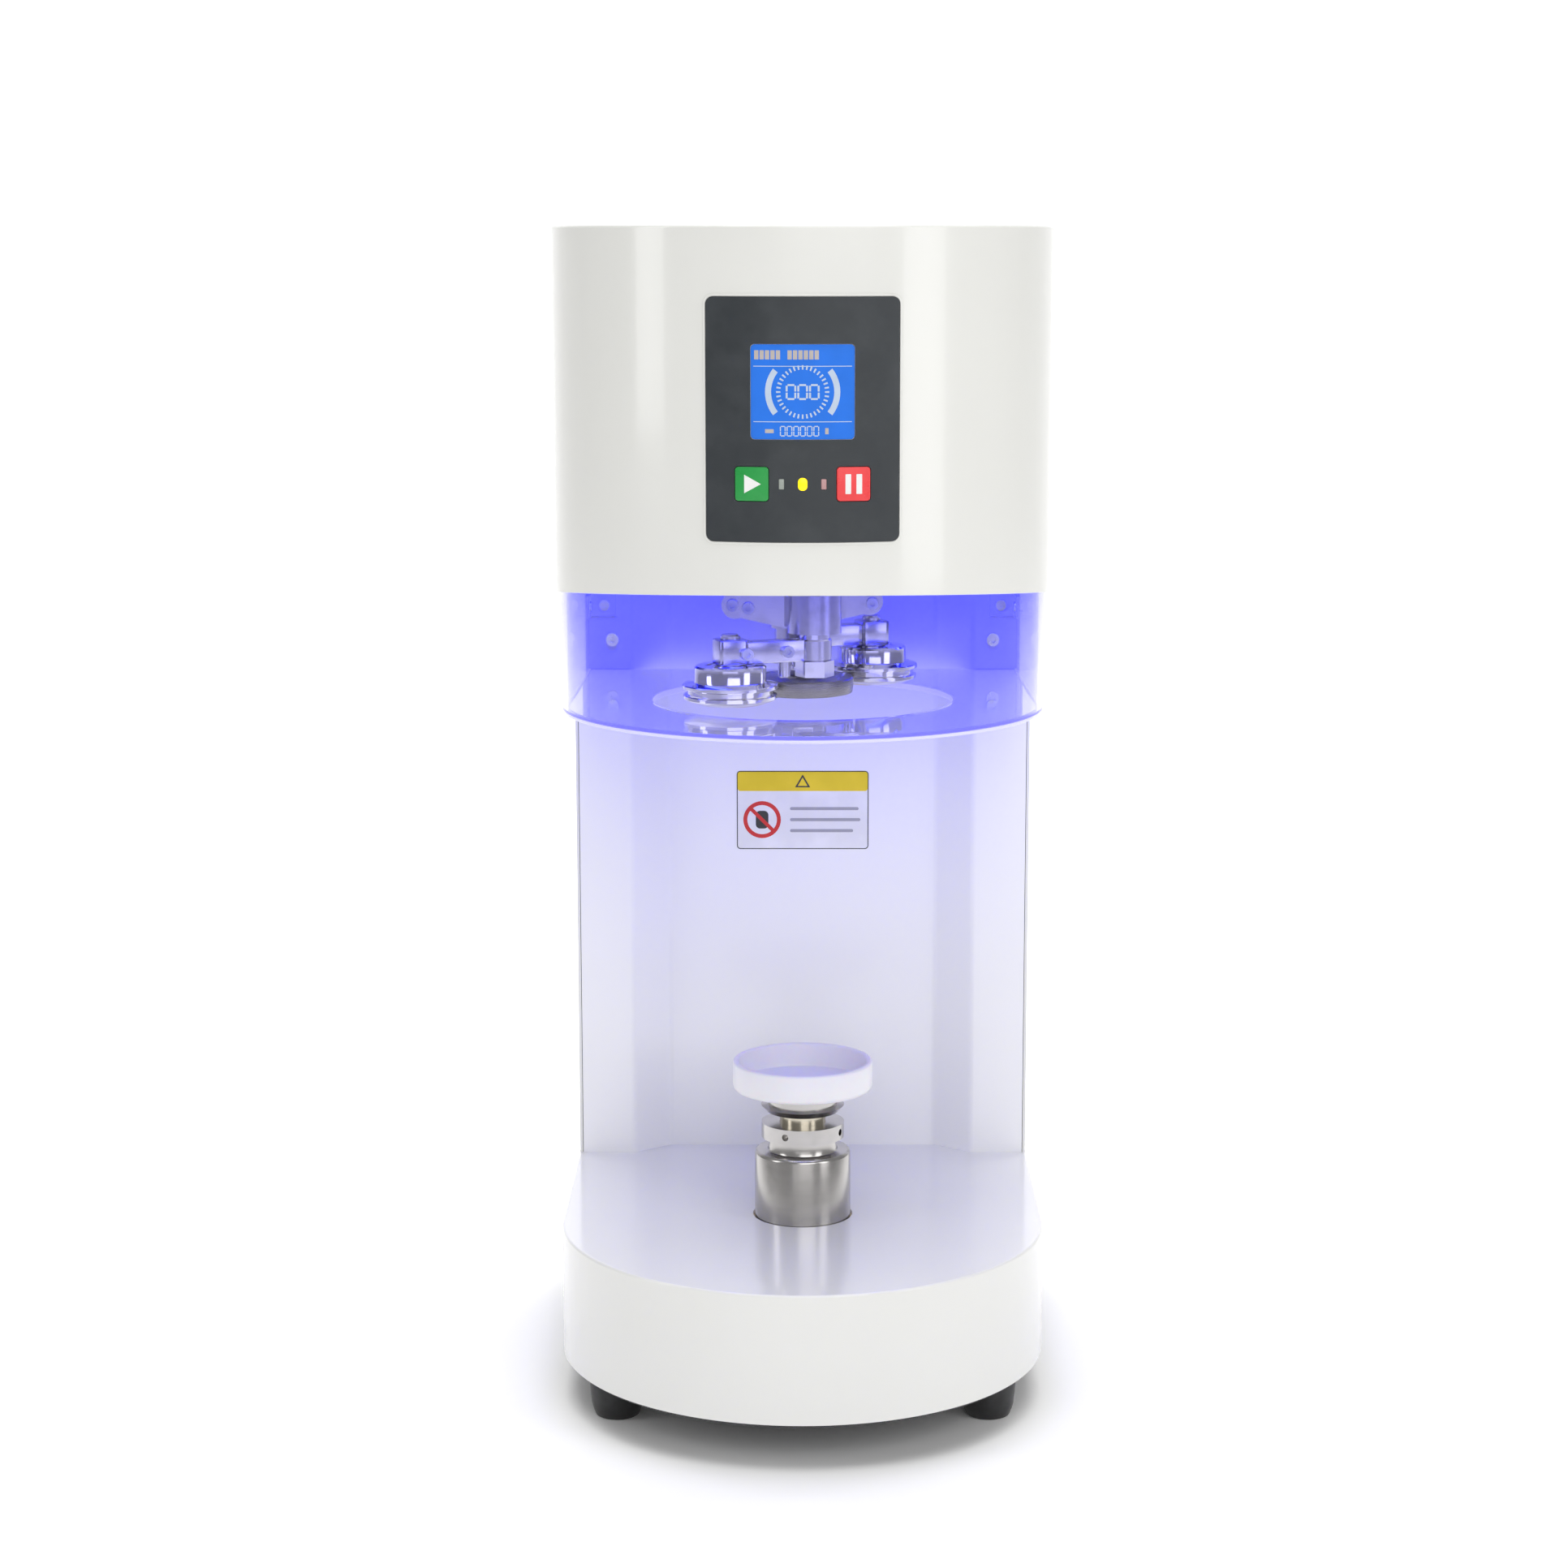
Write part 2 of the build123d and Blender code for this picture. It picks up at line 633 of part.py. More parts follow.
def make_feet():
    """Four tapered rubber feet."""
    feet = []
    for place in foot_places():
        foot = cone(FOOT_TOE_R, FOOT_TOP_R, 0, FOOT_HEIGHT, place)
        foot -= disc(SCREW_HEAD_R + PART_GAP, -CUT, FOOT_HEIGHT / 3, place)
        feet.append(foot - disc(SCREW_SHANK_R, -CUT, FOOT_HEIGHT + CUT, place))
    return feet


def make_column_panel():
    """Folded front panel of the column."""
    bevel_x = PANEL_HALF - FLANGE_WIDTH
    recess_x = bevel_x - BEVEL_WIDTH
    recess_y = FLANGE_Y + RECESS_DEPTH
    line = [(-PANEL_HALF, FLANGE_Y), (-bevel_x, FLANGE_Y), (-recess_x, recess_y)]
    line += [(-x, y) for x, y in reversed(line)]
    back = [(x, y + SHEET) for x, y in reversed(line)]
    panel = flat_prism(line + back, BASE_TOP, DECK_Z)
    for hole in cover_screw_holes():
        panel -= hole
    return panel


def make_column_cover():
    """Rear cover of the column, with its vents."""
    high = head_edge(FLANGE_Y)
    outer = block((-COLUMN_HALF, COLUMN_HALF), (FLANGE_Y, COLUMN_BACK), (BASE_TOP, high))
    inner_half = COLUMN_HALF - SHEET
    hollow = block((-inner_half, inner_half), (FLANGE_Y - CUT, COLUMN_BACK - SHEET), (0, high + CUT))
    cover = (outer - hollow) & below_edge(PART_GAP)
    for row in range(VENT_COUNT):
        z = COLUMN_MIDDLE + (row - (VENT_COUNT - 1) / 2) * VENT_PITCH
        plane = Plane(origin=(0, COLUMN_BACK - 2 * SHEET, z), x_dir=(1, 0, 0), z_dir=REAR)
        cover -= extrude(plane * SlotOverall(VENT_LENGTH, VENT_HEIGHT), amount=3 * SHEET)
    for hole in cover_screw_holes():
        cover -= hole
    return cover


def make_posts():
    """Two square tubes that carry the head."""
    posts = []
    for side in (-1, 1):
        tube = post_solid(side, 0.0, PLATE_TOP, DECK_Z)
        posts.append(tube - post_solid(side, -POST_WALL, 0, DECK_Z + CUT))
    return posts


def make_cover_screws():
    """Screws of the column and the head."""
    shapes = []
    for seat, way in cover_screw_seats():
        shapes.append(screw(SCREW_HEAD_R, SCREW_HEAD, SCREW_SHANK_R, SCREW_LENGTH, seat, way))
    return shapes


# ---- head ----
def make_head_cover():
    """Sheet cover of the head, open below."""
    low = head_edge(BACK_Y) - CUT
    outer = d_solid(HALF, BACK_Y, low, OVERALL_HEIGHT)
    outer = fillet(outer.edges().group_by(Axis.Z)[-1], EDGE_ROUND)
    shell = outer - d_solid(INNER, BACK_Y - SHEET, low - CUT, OVERALL_HEIGHT - SHEET)
    shell -= below_edge(0.0)
    rest = 2 * WINDOW_REST
    size = (WINDOW_WIDTH - rest, WINDOW_HEIGHT - rest)
    shell -= on_front(*size, WINDOW_Z, INNER - CUT_FAR, HALF + CUT_FAR, WINDOW_CORNER)
    for hole in key_holes() + lamp_bars(0.0) + cover_screw_holes():
        shell -= hole
    return shell


def make_deck():
    """Plate that carries the spindle housing."""
    deck = d_solid(DECK_R, BACK_Y - SHEET - DECK_TUCK, DECK_Z, DECK_TOP)
    deck -= disc(HOUSING_R, DECK_Z - CUT, DECK_TOP + CUT, (0, CUP_Y))
    for hole in guard_screw_holes() + cover_screw_holes():
        deck -= hole
    return deck


def make_led_strip():
    """Light strip under the front of the deck."""
    outer = GUARD_IN - LED_INSET
    strip = ring(outer, outer - LED_WIDTH, DECK_Z - LED_THICKNESS, DECK_Z, (0, ARC_Y))
    reach = BODY_WIDTH
    end_y = ARC_Y - reach * cos(radians(LED_SPAN / 2))
    front = [(0, ARC_Y), (-reach, end_y), (-reach, -reach), (reach, -reach), (reach, end_y)]
    return strip & flat_prism(front, DECK_Z - 2 * LED_THICKNESS, DECK_Z + CUT)


def make_housing():
    """Housing of the spindle bearings."""
    at = (0, CUP_Y)
    housing = disc(HOUSING_R, HOUSING_Z, HOUSING_TOP, at)
    housing += disc(HOUSING_R + HOUSING_FLANGE_WIDTH, DECK_TOP, DECK_TOP + HOUSING_FLANGE, at)
    housing -= disc(BEARING_R, HOUSING_Z + HOUSING_DROP, HOUSING_TOP + CUT, at)
    return housing - disc(SLEEVE_R + PART_GAP, HOUSING_Z - CUT, HOUSING_TOP, at)


def make_bearings():
    """The two spindle bearings."""
    at = (0, CUP_Y)
    low = HOUSING_Z + HOUSING_DROP
    bore = SLEEVE_R + RUNNING_CLEARANCE
    lower = ring(BEARING_R, bore, low, low + BEARING_WIDTH, at)
    return [lower, ring(BEARING_R, bore, HOUSING_TOP - BEARING_WIDTH, HOUSING_TOP, at)]


def bridge_legs():
    """Plan places of the four bridge legs."""
    ys = (CUP_Y - BRIDGE_LEG_FRONT, CUP_Y + BRIDGE_LEG_BACK)
    return [(side * BRIDGE_LEG_X, y) for side in (-1, 1) for y in ys]


def make_bridge():
    """Bridge that carries the motor and the still shaft."""
    margin = BRIDGE_LEG_R + BRIDGE_MARGIN
    x = BRIDGE_LEG_X + margin
    span = (CUP_Y - BRIDGE_LEG_FRONT - margin, CUP_Y + BRIDGE_LEG_BACK + margin)
    plate = block((-x, x), span, (BRIDGE_Z, BRIDGE_TOP))
    for place in bridge_legs():
        plate += disc(BRIDGE_LEG_R, DECK_TOP, BRIDGE_Z, place)
    plate -= disc(SHAFT_R, 0, BRIDGE_TOP + CUT, (0, CUP_Y))
    return plate - disc(MOTOR_SHAFT_R + MOTOR_RIM, BRIDGE_Z - CUT, BRIDGE_TOP + CUT, (0, DRIVE_Y))


def make_centre_shaft():
    """Still shaft down the middle, with its nut."""
    at = (0, CUP_Y)
    shaft = disc(SHAFT_R, CHUCK_Z + CHUCK_HEIGHT / 2, BRIDGE_TOP, at)
    shaft += hexagon(ARM_NUT_FLATS, BRIDGE_TOP, BRIDGE_TOP + ARM_NUT_HEIGHT, at)
    return shaft


def make_chuck():
    """Seaming chuck on the still shaft."""
    at = (0, CUP_Y)
    chuck = cone(CHUCK_R - CHUCK_TAPER, CHUCK_R, CHUCK_Z, CHUCK_Z + CHUCK_HEIGHT / 2, at)
    chuck += disc(CHUCK_R, CHUCK_Z + CHUCK_HEIGHT / 2, CHUCK_Z + CHUCK_HEIGHT, at)
    chuck += disc(CHUCK_HUB_R, CHUCK_Z + CHUCK_HEIGHT, ARM_TOP, at)
    return chuck - disc(SHAFT_R, CHUCK_Z + CHUCK_HEIGHT / 2, ARM_TOP + CUT, at)


def make_head_motor():
    """Motor of the head."""
    at = (0, DRIVE_Y)
    motor = disc(HEAD_MOTOR_R, BRIDGE_TOP, MOTOR_TOP, at)
    motor = fillet(motor.edges().group_by(Axis.Z)[-1], 3 * EDGE_ROUND)
    return motor - disc(MOTOR_SHAFT_R + RUNNING_CLEARANCE, BRIDGE_TOP - CUT, MOTOR_SHAFT_TOP, at)


def make_drive_pulleys():
    """Motor shaft with its two pulleys."""
    at = (0, DRIVE_Y)
    shaft = disc(MOTOR_SHAFT_R, CAM_PULLEY_Z, MOTOR_SHAFT_TOP - PART_GAP, at)
    for low in (CAM_PULLEY_Z, TURRET_PULLEY_Z):
        shaft += pulley(MOTOR_TEETH, low, PULLEY_WIDTH, at, 0.0)
    return shaft


def make_belts():
    """Two belts of the head and one of the lift."""
    near = (0, CUP_Y)
    far = (0, DRIVE_Y)
    belts = []
    for teeth, low in ((CAM_TEETH, CAM_PULLEY_Z), (TURRET_TEETH, TURRET_PULLEY_Z)):
        level = low + PULLEY_FLANGE + PART_GAP
        belts.append(belt(near, pulley_r(teeth), far, pulley_r(MOTOR_TEETH), level, BELT_WIDTH))
    lift_r = pulley_r(LIFT_PULLEY_TEETH)
    level = LIFT_PULLEY_Z + PULLEY_FLANGE + PART_GAP
    belts.append(belt(near, lift_r, (0, LIFT_MOTOR_Y), lift_r, level, LIFT_BELT_WIDTH - 2 * PART_GAP))
    return belts


# ---- turning parts of the head ----
def make_spindle():
    """Hollow spindle that turns the turret."""
    return ring(SPINDLE_R, SHAFT_R + RUNNING_CLEARANCE, TURRET_Z, TURRET_PULLEY_Z + PULLEY_WIDTH, (0, CUP_Y))


def make_turret_pulley():
    """Pulley on the spindle."""
    return pulley(TURRET_TEETH, TURRET_PULLEY_Z, PULLEY_WIDTH, (0, CUP_Y), SPINDLE_R)


def make_crosshead():
    """Crosshead with both arm bosses and wings."""
    at = (0, CUP_Y)
    half = disc(TURRET_BOSS_R, TURRET_Z, TURRET_TOP, PIVOTS["first"])
    width = 2 * TURRET_BOSS_R - CROSS_STEP
    half += bar(at, PIVOTS["first"], width, TURRET_Z + CROSS_STEP, TURRET_TOP - CROSS_STEP)
    half += make_wing()
    cross = disc(TURRET_HUB_R, TURRET_Z, TURRET_TOP, at) + half + turned(half)
    cross -= disc(SPINDLE_R, TURRET_Z - CUT, TURRET_TOP + CUT, at)
    for place in PIVOTS.values():
        cross -= disc(ARM_SHAFT_R + RUNNING_CLEARANCE, TURRET_Z - CUT, TURRET_TOP + CUT, place)
    for seat, way in turret_screw_seats():
        cross -= shank(SCREW_SHANK_R, SCREW_LENGTH, seat, way)
    return cross


def make_wing():
    """One tapered wing of the crosshead with its round end."""
    front = CUP_Y - WING_FRONT
    low = TURRET_Z + WING_FOOT
    end = WING_END_R - WING_EASE
    tip_z = TURRET_Z + WING_Z
    outline = [(-TURRET_BOSS_R / 2, low), (-WING_REACH, tip_z - end)]
    outline += [(-WING_REACH, tip_z + end), (-TURRET_BOSS_R / 2, TURRET_TOP - WING_EASE)]
    face = make_face(Polyline(*[(x, front, z) for x, z in outline], close=True))
    wing = extrude(face, amount=WING_THICKNESS, dir=REAR)
    return wing + along(WING_END_R, (-WING_REACH, front, tip_z), REAR, WING_THICKNESS)


def turret_screw_seats():
    """Seats of the screws in the wing ends."""
    z = TURRET_Z + WING_Z
    front = CUP_Y - WING_FRONT
    rear = front + WING_THICKNESS
    out = -WING_REACH - WING_SCREW_OUT
    seats = [((out, front, z), FRONT), ((-WING_REACH + WING_SCREW_IN, front, z - WING_SCREW_DROP), FRONT)]
    seats.append(((out, rear, z - WING_REAR_DROP), REAR))
    both = []
    for (x, y, height), way in seats:
        both.append(((x, y, height), way))
        both.append(((-x, 2 * CUP_Y - y, height), (0, -way[1], 0)))
    return both


def make_turret_screws():
    """Screws in the wing ends."""
    shapes = []
    for seat, way in turret_screw_seats():
        shapes.append(screw(SMALL_HEAD_R, SMALL_HEAD, SCREW_SHANK_R, WING_SCREW_LENGTH, seat, way))
    return shapes


def make_springs():
    """Return springs round the arm shafts."""
    low = TURRET_TOP
    springs = []
    for place in PIVOTS.values():
        springs.append(ring(SPRING_R, SPRING_R - SPRING_WIRE, low, low + SPRING_HEIGHT, place))
    return springs


def make_cam():
    """Closing cam, its sleeve and its pulley."""
    at = (0, CUP_Y)
    reach = CAM_BASE_R + CAM_LIFT - CAM_LOBE_R
    turn = radians(CAM_LOBE_ANGLE)
    lobe = (reach * cos(turn), CUP_Y + reach * sin(turn))
    lean = acos((CAM_BASE_R - CAM_LOBE_R) / reach)
    flank = []
    ends = ((at, CAM_BASE_R, 1), (lobe, CAM_LOBE_R, 1), (lobe, CAM_LOBE_R, -1), (at, CAM_BASE_R, -1))
    for centre, radius, sign in ends:
        angle = turn + sign * lean
        flank.append((centre[0] + radius * cos(angle), centre[1] + radius * sin(angle)))
    cam = disc(CAM_BASE_R, CAM_Z, CAM_Z + CAM_HEIGHT, at)
    cam += disc(CAM_LOBE_R, CAM_Z, CAM_Z + CAM_HEIGHT, lobe)
    cam += flat_prism(flank, CAM_Z, CAM_Z + CAM_HEIGHT)
    cam += disc(SLEEVE_R, CAM_Z, CAM_PULLEY_Z, at)
    cam += pulley(CAM_TEETH, CAM_PULLEY_Z, PULLEY_WIDTH, at, 0.0)
    return cam - disc(SPINDLE_R + RUNNING_CLEARANCE, CAM_Z - CUT, CAM_PULLEY_Z + 2 * PULLEY_WIDTH, at)


# ---- one seaming arm ----
def arm_screw_seats(pivot, roller):
    """Seats of the two clamp screws on an arm's outer face."""
    length = hypot(roller[0] - pivot[0], roller[1] - pivot[1])
    run = ((roller[0] - pivot[0]) / length, (roller[1] - pivot[1]) / length)
    out = (-run[1], run[0])
    if out[1] * (pivot[1] - CUP_Y) < 0:
        out = (run[1], -run[0])
    seats = []
    for share in (ARM_MIDDLE_SHARE, ARM_CLAMP_SHARE):
        middle = (pivot[0] + run[0] * length * share, pivot[1] + run[1] * length * share)
        reach = ARM_THICKNESS / 2 if share == ARM_MIDDLE_SHARE else ARM_CLAMP_R - ARM_CLAMP_FLAT
        seat = (middle[0] + out[0] * reach, middle[1] + out[1] * reach, ARM_Z + ARM_HEIGHT / 2)
        seats.append((seat, (out[0], out[1], 0)))
    return seats


def make_arm(name):
    """One seaming arm with its roller pin and stop pin."""
    pivot, roller = PIVOTS[name], ROLLERS[name]
    arm = disc(ARM_PIVOT_R, ARM_Z, ARM_TOP, pivot)
    arm += disc(ARM_CLAMP_R, ARM_Z, ARM_TOP + ARM_CLAMP_PROUD, roller)
    arm += bar(pivot, roller, ARM_THICKNESS, ARM_Z, ARM_TOP)
    stop = tuple(near + (far - near) * ARM_MIDDLE_SHARE for near, far in zip(pivot, roller))
    arm += disc(STOP_PIN_R, ARM_Z - STOP_PIN_LENGTH, ARM_Z, stop)
    arm += disc(ROLLER_PIN_R, CHUCK_Z + ROLLER_PIN_RISE, ARM_TOP + ROLLER_PIN_PROUD, roller)
    arm -= disc(ARM_SHAFT_R, ARM_Z - CUT, ARM_TOP + CUT, pivot)
    for seat, way in arm_screw_seats(pivot, roller):
        arm -= shank(SCREW_SHANK_R, SMALL_LENGTH, seat, way)
        arm -= along(SMALL_HEAD_R, seat, way, ARM_SCREW_FACE)
    return arm


def make_arm_screws(name):
    """Clamp screws of one arm."""
    seats = arm_screw_seats(PIVOTS[name], ROLLERS[name])
    return [screw(SMALL_HEAD_R, SMALL_HEAD, SCREW_SHANK_R, SMALL_LENGTH, seat, way) for seat, way in seats]


def make_arm_shaft(name):
    """Shaft of one arm, with its nut and washer."""
    at = PIVOTS[name]
    shaft = disc(ARM_SHAFT_R, ARM_Z - ARM_NUT_HEIGHT, LEVER_TOP, at)
    shaft += hexagon(ARM_NUT_FLATS, ARM_Z - ARM_NUT_HEIGHT, ARM_Z, at)
    return shaft + disc(WASHER_R, ARM_TOP, ARM_TOP + WASHER_HEIGHT, at)


def make_lever(name):
    """Lever that the cam moves, with its follower pin."""
    pivot, tip = PIVOTS[name], FOLLOWERS[name]
    lever = disc(LEVER_PIVOT_R, LEVER_Z, LEVER_TOP, pivot)
    lever += disc(LEVER_TIP_R, LEVER_Z, LEVER_TOP, tip)
    lever += bar(pivot, tip, 2 * LEVER_TIP_R, LEVER_Z, LEVER_TOP)
    lever += disc(FOLLOWER_PIN_R, LEVER_TOP, CAM_Z + FOLLOWER_HEIGHT, tip)
    return lever - disc(ARM_SHAFT_R, LEVER_Z - CUT, LEVER_TOP + CUT, pivot)


def make_follower(name):
    """Follower ring on the lever's pin."""
    bore = FOLLOWER_PIN_R + RUNNING_CLEARANCE
    return ring(FOLLOWER_R, bore, CAM_Z, CAM_Z + FOLLOWER_HEIGHT, FOLLOWERS[name])


def make_roller(name):
    """Grooved seaming roller."""
    at = ROLLERS[name]
    flange_top = ROLLER_TOP - ROLLER_BODY_HEIGHT
    roller = disc(ROLLER_BODY_R, flange_top, ROLLER_TOP, at)
    lip = flange_top - ROLLER_LIP
    rim = lip - ROLLER_RIM
    waist = rim - ROLLER_WAIST
    foot = waist - ROLLER_FOOT_RIM
    foot_r = ROLLER_FLANGE_R - ROLLER_FOOT_DEPTH
    roller += disc(ROLLER_FLANGE_R, rim, lip, at)
    roller += cone(ROLLER_FLANGE_R, ROLLER_BODY_R + ROLLER_LIP_EASE, lip, flange_top, at)
    roller += disc(ROLLER_FLANGE_R - ROLLER_WAIST_DEPTH, waist, rim, at)
    roller += disc(foot_r, foot, waist, at)
    roller += cone(ROLLER_BODY_R, foot_r, CHUCK_Z, foot, at)
    return roller - disc(ROLLER_PIN_R + RUNNING_CLEARANCE, CHUCK_Z + ROLLER_BORE_RISE, ROLLER_TOP + CUT, at)


# ---- guard ----
def make_guard_wall():
    """Clear wall of the guard."""
    wall = d_solid(GUARD_R, FLANGE_Y, GUARD_Z, DECK_TOP + GUARD_RISE)
    wall -= d_solid(GUARD_IN, FLANGE_Y + CUT, GUARD_Z - CUT, DECK_TOP + GUARD_RISE + CUT)
    for hole in guard_screw_holes():
        wall -= hole
    return wall


def make_guard_floor():
    """Clear floor of the guard, with the cup's hole."""
    floor = d_solid(GUARD_IN, FLANGE_Y, GUARD_Z, GUARD_Z + GUARD_WALL)
    return floor - disc(GUARD_HOLE_R, GUARD_Z - CUT, GUARD_Z + 2 * GUARD_WALL, (0, CUP_Y))


def make_guard_brackets():
    """Two small angle brackets."""
    z = DECK_Z - BRACKET_DROP
    span = (z - BRACKET_HEIGHT / 2, z + BRACKET_HEIGHT / 2)
    leg = block((GUARD_IN - BRACKET_LEG, GUARD_IN), (FLANGE_Y - BRACKET_SHEET, FLANGE_Y), span)
    leg += block((GUARD_IN - BRACKET_SHEET, GUARD_IN), (FLANGE_Y - BRACKET_LEG, FLANGE_Y), span)
    brackets = []
    for side in mirrored(leg):
        for hole in guard_screw_holes():
            side -= hole
        brackets.append(side)
    return brackets


def make_guard_screws():
    """Screws of the guard."""
    shapes = []
    for seat, way in guard_screw_seats():
        length = guard_screw_length(seat)
        if way == FRONT and seat[2] < DECK_Z:
            length = BRACKET_SHEET
        shapes.append(screw(GUARD_SCREW_HEAD_R, GUARD_SCREW_HEAD, GUARD_SCREW_R, length, seat, way))
    return shapes


# ---- controls ----
def key_holes():
    """Openings for the two keys."""
    size = KEY_SIZE + 2 * PART_GAP
    corner = KEY_CORNER + PART_GAP
    bars = []
    for angle in (-KEY_ANGLE, KEY_ANGLE):
        bars.append(on_front(size, size, KEY_Z, INNER - CUT_FAR, HALF + CUT_FAR, corner, angle))
    return bars


def lamp_bars(proud):
    """The three lamp lenses, or their holes."""
    angle = degrees(LAMP_SPACING / HALF)
    far = HALF + OVERLAY + proud if proud else HALF + CUT_FAR
    near = INNER - LAMP_REACH
    bars = [on_front(LAMP_WIDTH, LAMP_HEIGHT, KEY_Z, near, far, LAMP_CORNER)]
    for turn in (-angle, angle):
        bars.append(on_front(SIDE_LAMP_WIDTH, SIDE_LAMP_HEIGHT, KEY_Z, near, far, SIDE_LAMP_CORNER, turn))
    return bars


def make_overlay():
    """Film over the control panel."""
    skin = ring(HALF + OVERLAY, HALF, PANEL_Z - CUT, PANEL_TOP + CUT, (0, ARC_Y))
    middle = (PANEL_Z + PANEL_TOP) / 2
    skin &= on_front(PANEL_WIDTH, PANEL_HEIGHT, middle, HALF / 2, HALF + CUT_FAR, PANEL_CORNER)
    skin -= on_front(WINDOW_WIDTH, WINDOW_HEIGHT, WINDOW_Z, HALF / 2, HALF + CUT_FAR, WINDOW_CORNER)
    for hole in key_holes() + lamp_bars(0.0):
        skin -= hole
    return skin


def make_window():
    """Display window in the film."""
    skin = ring(HALF + OVERLAY, HALF, PANEL_Z, PANEL_TOP, (0, ARC_Y))
    return skin & on_front(WINDOW_WIDTH, WINDOW_HEIGHT, WINDOW_Z, HALF / 2, HALF + CUT_FAR, WINDOW_CORNER)


def make_lamps():
    """Three indicator lenses."""
    limit = disc(HALF + OVERLAY, PANEL_Z, PANEL_TOP, (0, ARC_Y))
    return [bar_out & limit for bar_out in lamp_bars(PART_GAP)]


def make_key(angle):
    """One key with the lip that keeps it in."""
    face = disc(HALF + OVERLAY + KEY_PROUD, PANEL_Z, PANEL_TOP, (0, ARC_Y))
    near = HALF - KEY_DEPTH
    key = on_front(KEY_SIZE, KEY_SIZE, KEY_Z, near, HALF + CUT_FAR, KEY_CORNER, angle) & face
    lip = KEY_SIZE + 2 * KEY_LIP
    limit = disc(INNER - 3 * PART_GAP, 0, PANEL_TOP, (0, ARC_Y))
    key += on_front(lip, lip, KEY_Z, near, near + KEY_LIP_THICKNESS, KEY_CORNER, angle) & limit
    return key


def make_control_board():
    """Board with the display, its legs and the switches."""
    face_y = FRONT_Y + BOARD_BACK
    low = PANEL_Z + BOARD_MARGIN
    high = PANEL_TOP - BOARD_MARGIN
    half = BOARD_WIDTH / 2
    board = block((-half, half), (face_y, face_y + BOARD_THICKNESS), (low, high))
    inside = d_solid(INNER, BACK_Y, low, high)
    hole_h = WINDOW_HEIGHT / 2 - DISPLAY_MARGIN
    front = ARC_Y - (INNER ** 2 - DISPLAY_HALF ** 2) ** 0.5 + DISPLAY_GAP
    board += block((-DISPLAY_HALF, DISPLAY_HALF), (front, face_y), (WINDOW_Z - hole_h, WINDOW_Z + hole_h))
    for x in (BOARD_LEG_INSET - half, half - BOARD_LEG_INSET):
        for z in (low + BOARD_LEG_INSET, high - BOARD_LEG_INSET):
            board += along(BOARD_LEG_R, (x, face_y, z), FRONT, BOARD_BACK) & inside
    for side in (-1, 1):
        angle = side * radians(KEY_ANGLE)
        reach = HALF - KEY_DEPTH - KEY_TRAVEL - SWITCH_GAP
        side_dip = reach * SWITCH_BACK_SHARE
        x = reach * sin(angle)
        y_span = (ARC_Y - reach * cos(angle) + side_dip, face_y)
        size = SWITCH_SIZE / 2
        board += block((x - size, x + size), y_span, (KEY_Z - size, KEY_Z + size))
    return board


# ---- lift ----
def make_bush():
    """Guide bush of the lift cylinder."""
    at = (0, CUP_Y)
    bush = disc(CYLINDER_R + BUSH_WALL, BASE_CEILING - BUSH_HEIGHT, BASE_CEILING, at)
    bush += disc(CYLINDER_R + BUSH_WALL + BUSH_FLANGE_WIDTH, BASE_CEILING - BUSH_FLANGE, BASE_CEILING, at)
    return bush - disc(CYLINDER_R + RUNNING_CLEARANCE, 0, BASE_CEILING + CUT, at)


def make_cylinder():
    """Lift cylinder with its cap and neck."""
    at = (0, CUP_Y)
    body = disc(CYLINDER_R, CYLINDER_FOOT, CYLINDER_TOP, at)
    body = chamfer(body.edges().group_by(Axis.Z)[-1], CYLINDER_CHAMFER)
    body += disc(LOCK_GROOVE_R, CYLINDER_TOP, RING_Z, at)
    body -= disc(CYLINDER_R - CYLINDER_WALL, CYLINDER_FOOT - CUT, CYLINDER_TOP - CYLINDER_CAP, at)
    return body - disc(STEM_R + RUNNING_CLEARANCE, CYLINDER_FOOT, RING_Z + CUT, at)


def make_nut():
    """Nut that the lead screw drives."""
    at = (0, CUP_Y)
    bore = SCREW_R + RUNNING_CLEARANCE
    return ring(CYLINDER_R - CYLINDER_WALL, bore, CYLINDER_FOOT, CYLINDER_FOOT + NUT_HEIGHT, at)


def make_lock_ring():
    """Lock ring with four spanner holes."""
    at = (0, CUP_Y)
    body = ring(LOCK_RING_R, STEM_R + RUNNING_CLEARANCE, RING_Z, RING_TOP, at)
    middle = (RING_Z + RING_TOP) / 2
    floor_r = LOCK_RING_R - SPANNER_HOLE_DEPTH
    for quarter in range(4):
        turn = radians(SPANNER_TURN + 90.0 * quarter)
        way = (cos(turn), sin(turn), 0)
        start = (floor_r * way[0], CUP_Y + floor_r * way[1], middle)
        body -= along(SPANNER_HOLE_R, start, way, LOCK_RING_R)
    return body


def make_stem():
    """Stem and collar under the tray."""
    at = (0, CUP_Y)
    stem = disc(STEM_R, RING_TOP - STEM_BELOW, COLLAR_Z, at)
    return stem + cone(COLLAR_FOOT_R, COLLAR_R, COLLAR_Z, TRAY_Z, at)


def make_tray():
    """Shallow tray for the cup."""
    at = (0, CUP_Y)
    tray = disc(TRAY_R, TRAY_Z, TRAY_Z + TRAY_HEIGHT, at)
    tray = fillet(tray.edges().group_by(Axis.Z)[0], TRAY_FOOT_ROUND)
    return tray - disc(TRAY_R - TRAY_WALL, TRAY_Z + TRAY_FLOOR, TRAY_Z + TRAY_HEIGHT + CUT, at)


def make_lead_screw():
    """Lead screw with its pulley."""
    at = (0, CUP_Y)
    top = CYLINDER_TOP - CYLINDER_CAP - SCREW_TOP_GAP
    rod = disc(SCREW_R, PLATE_TOP + PART_GAP, top, at)
    return rod + lift_pulley(at)


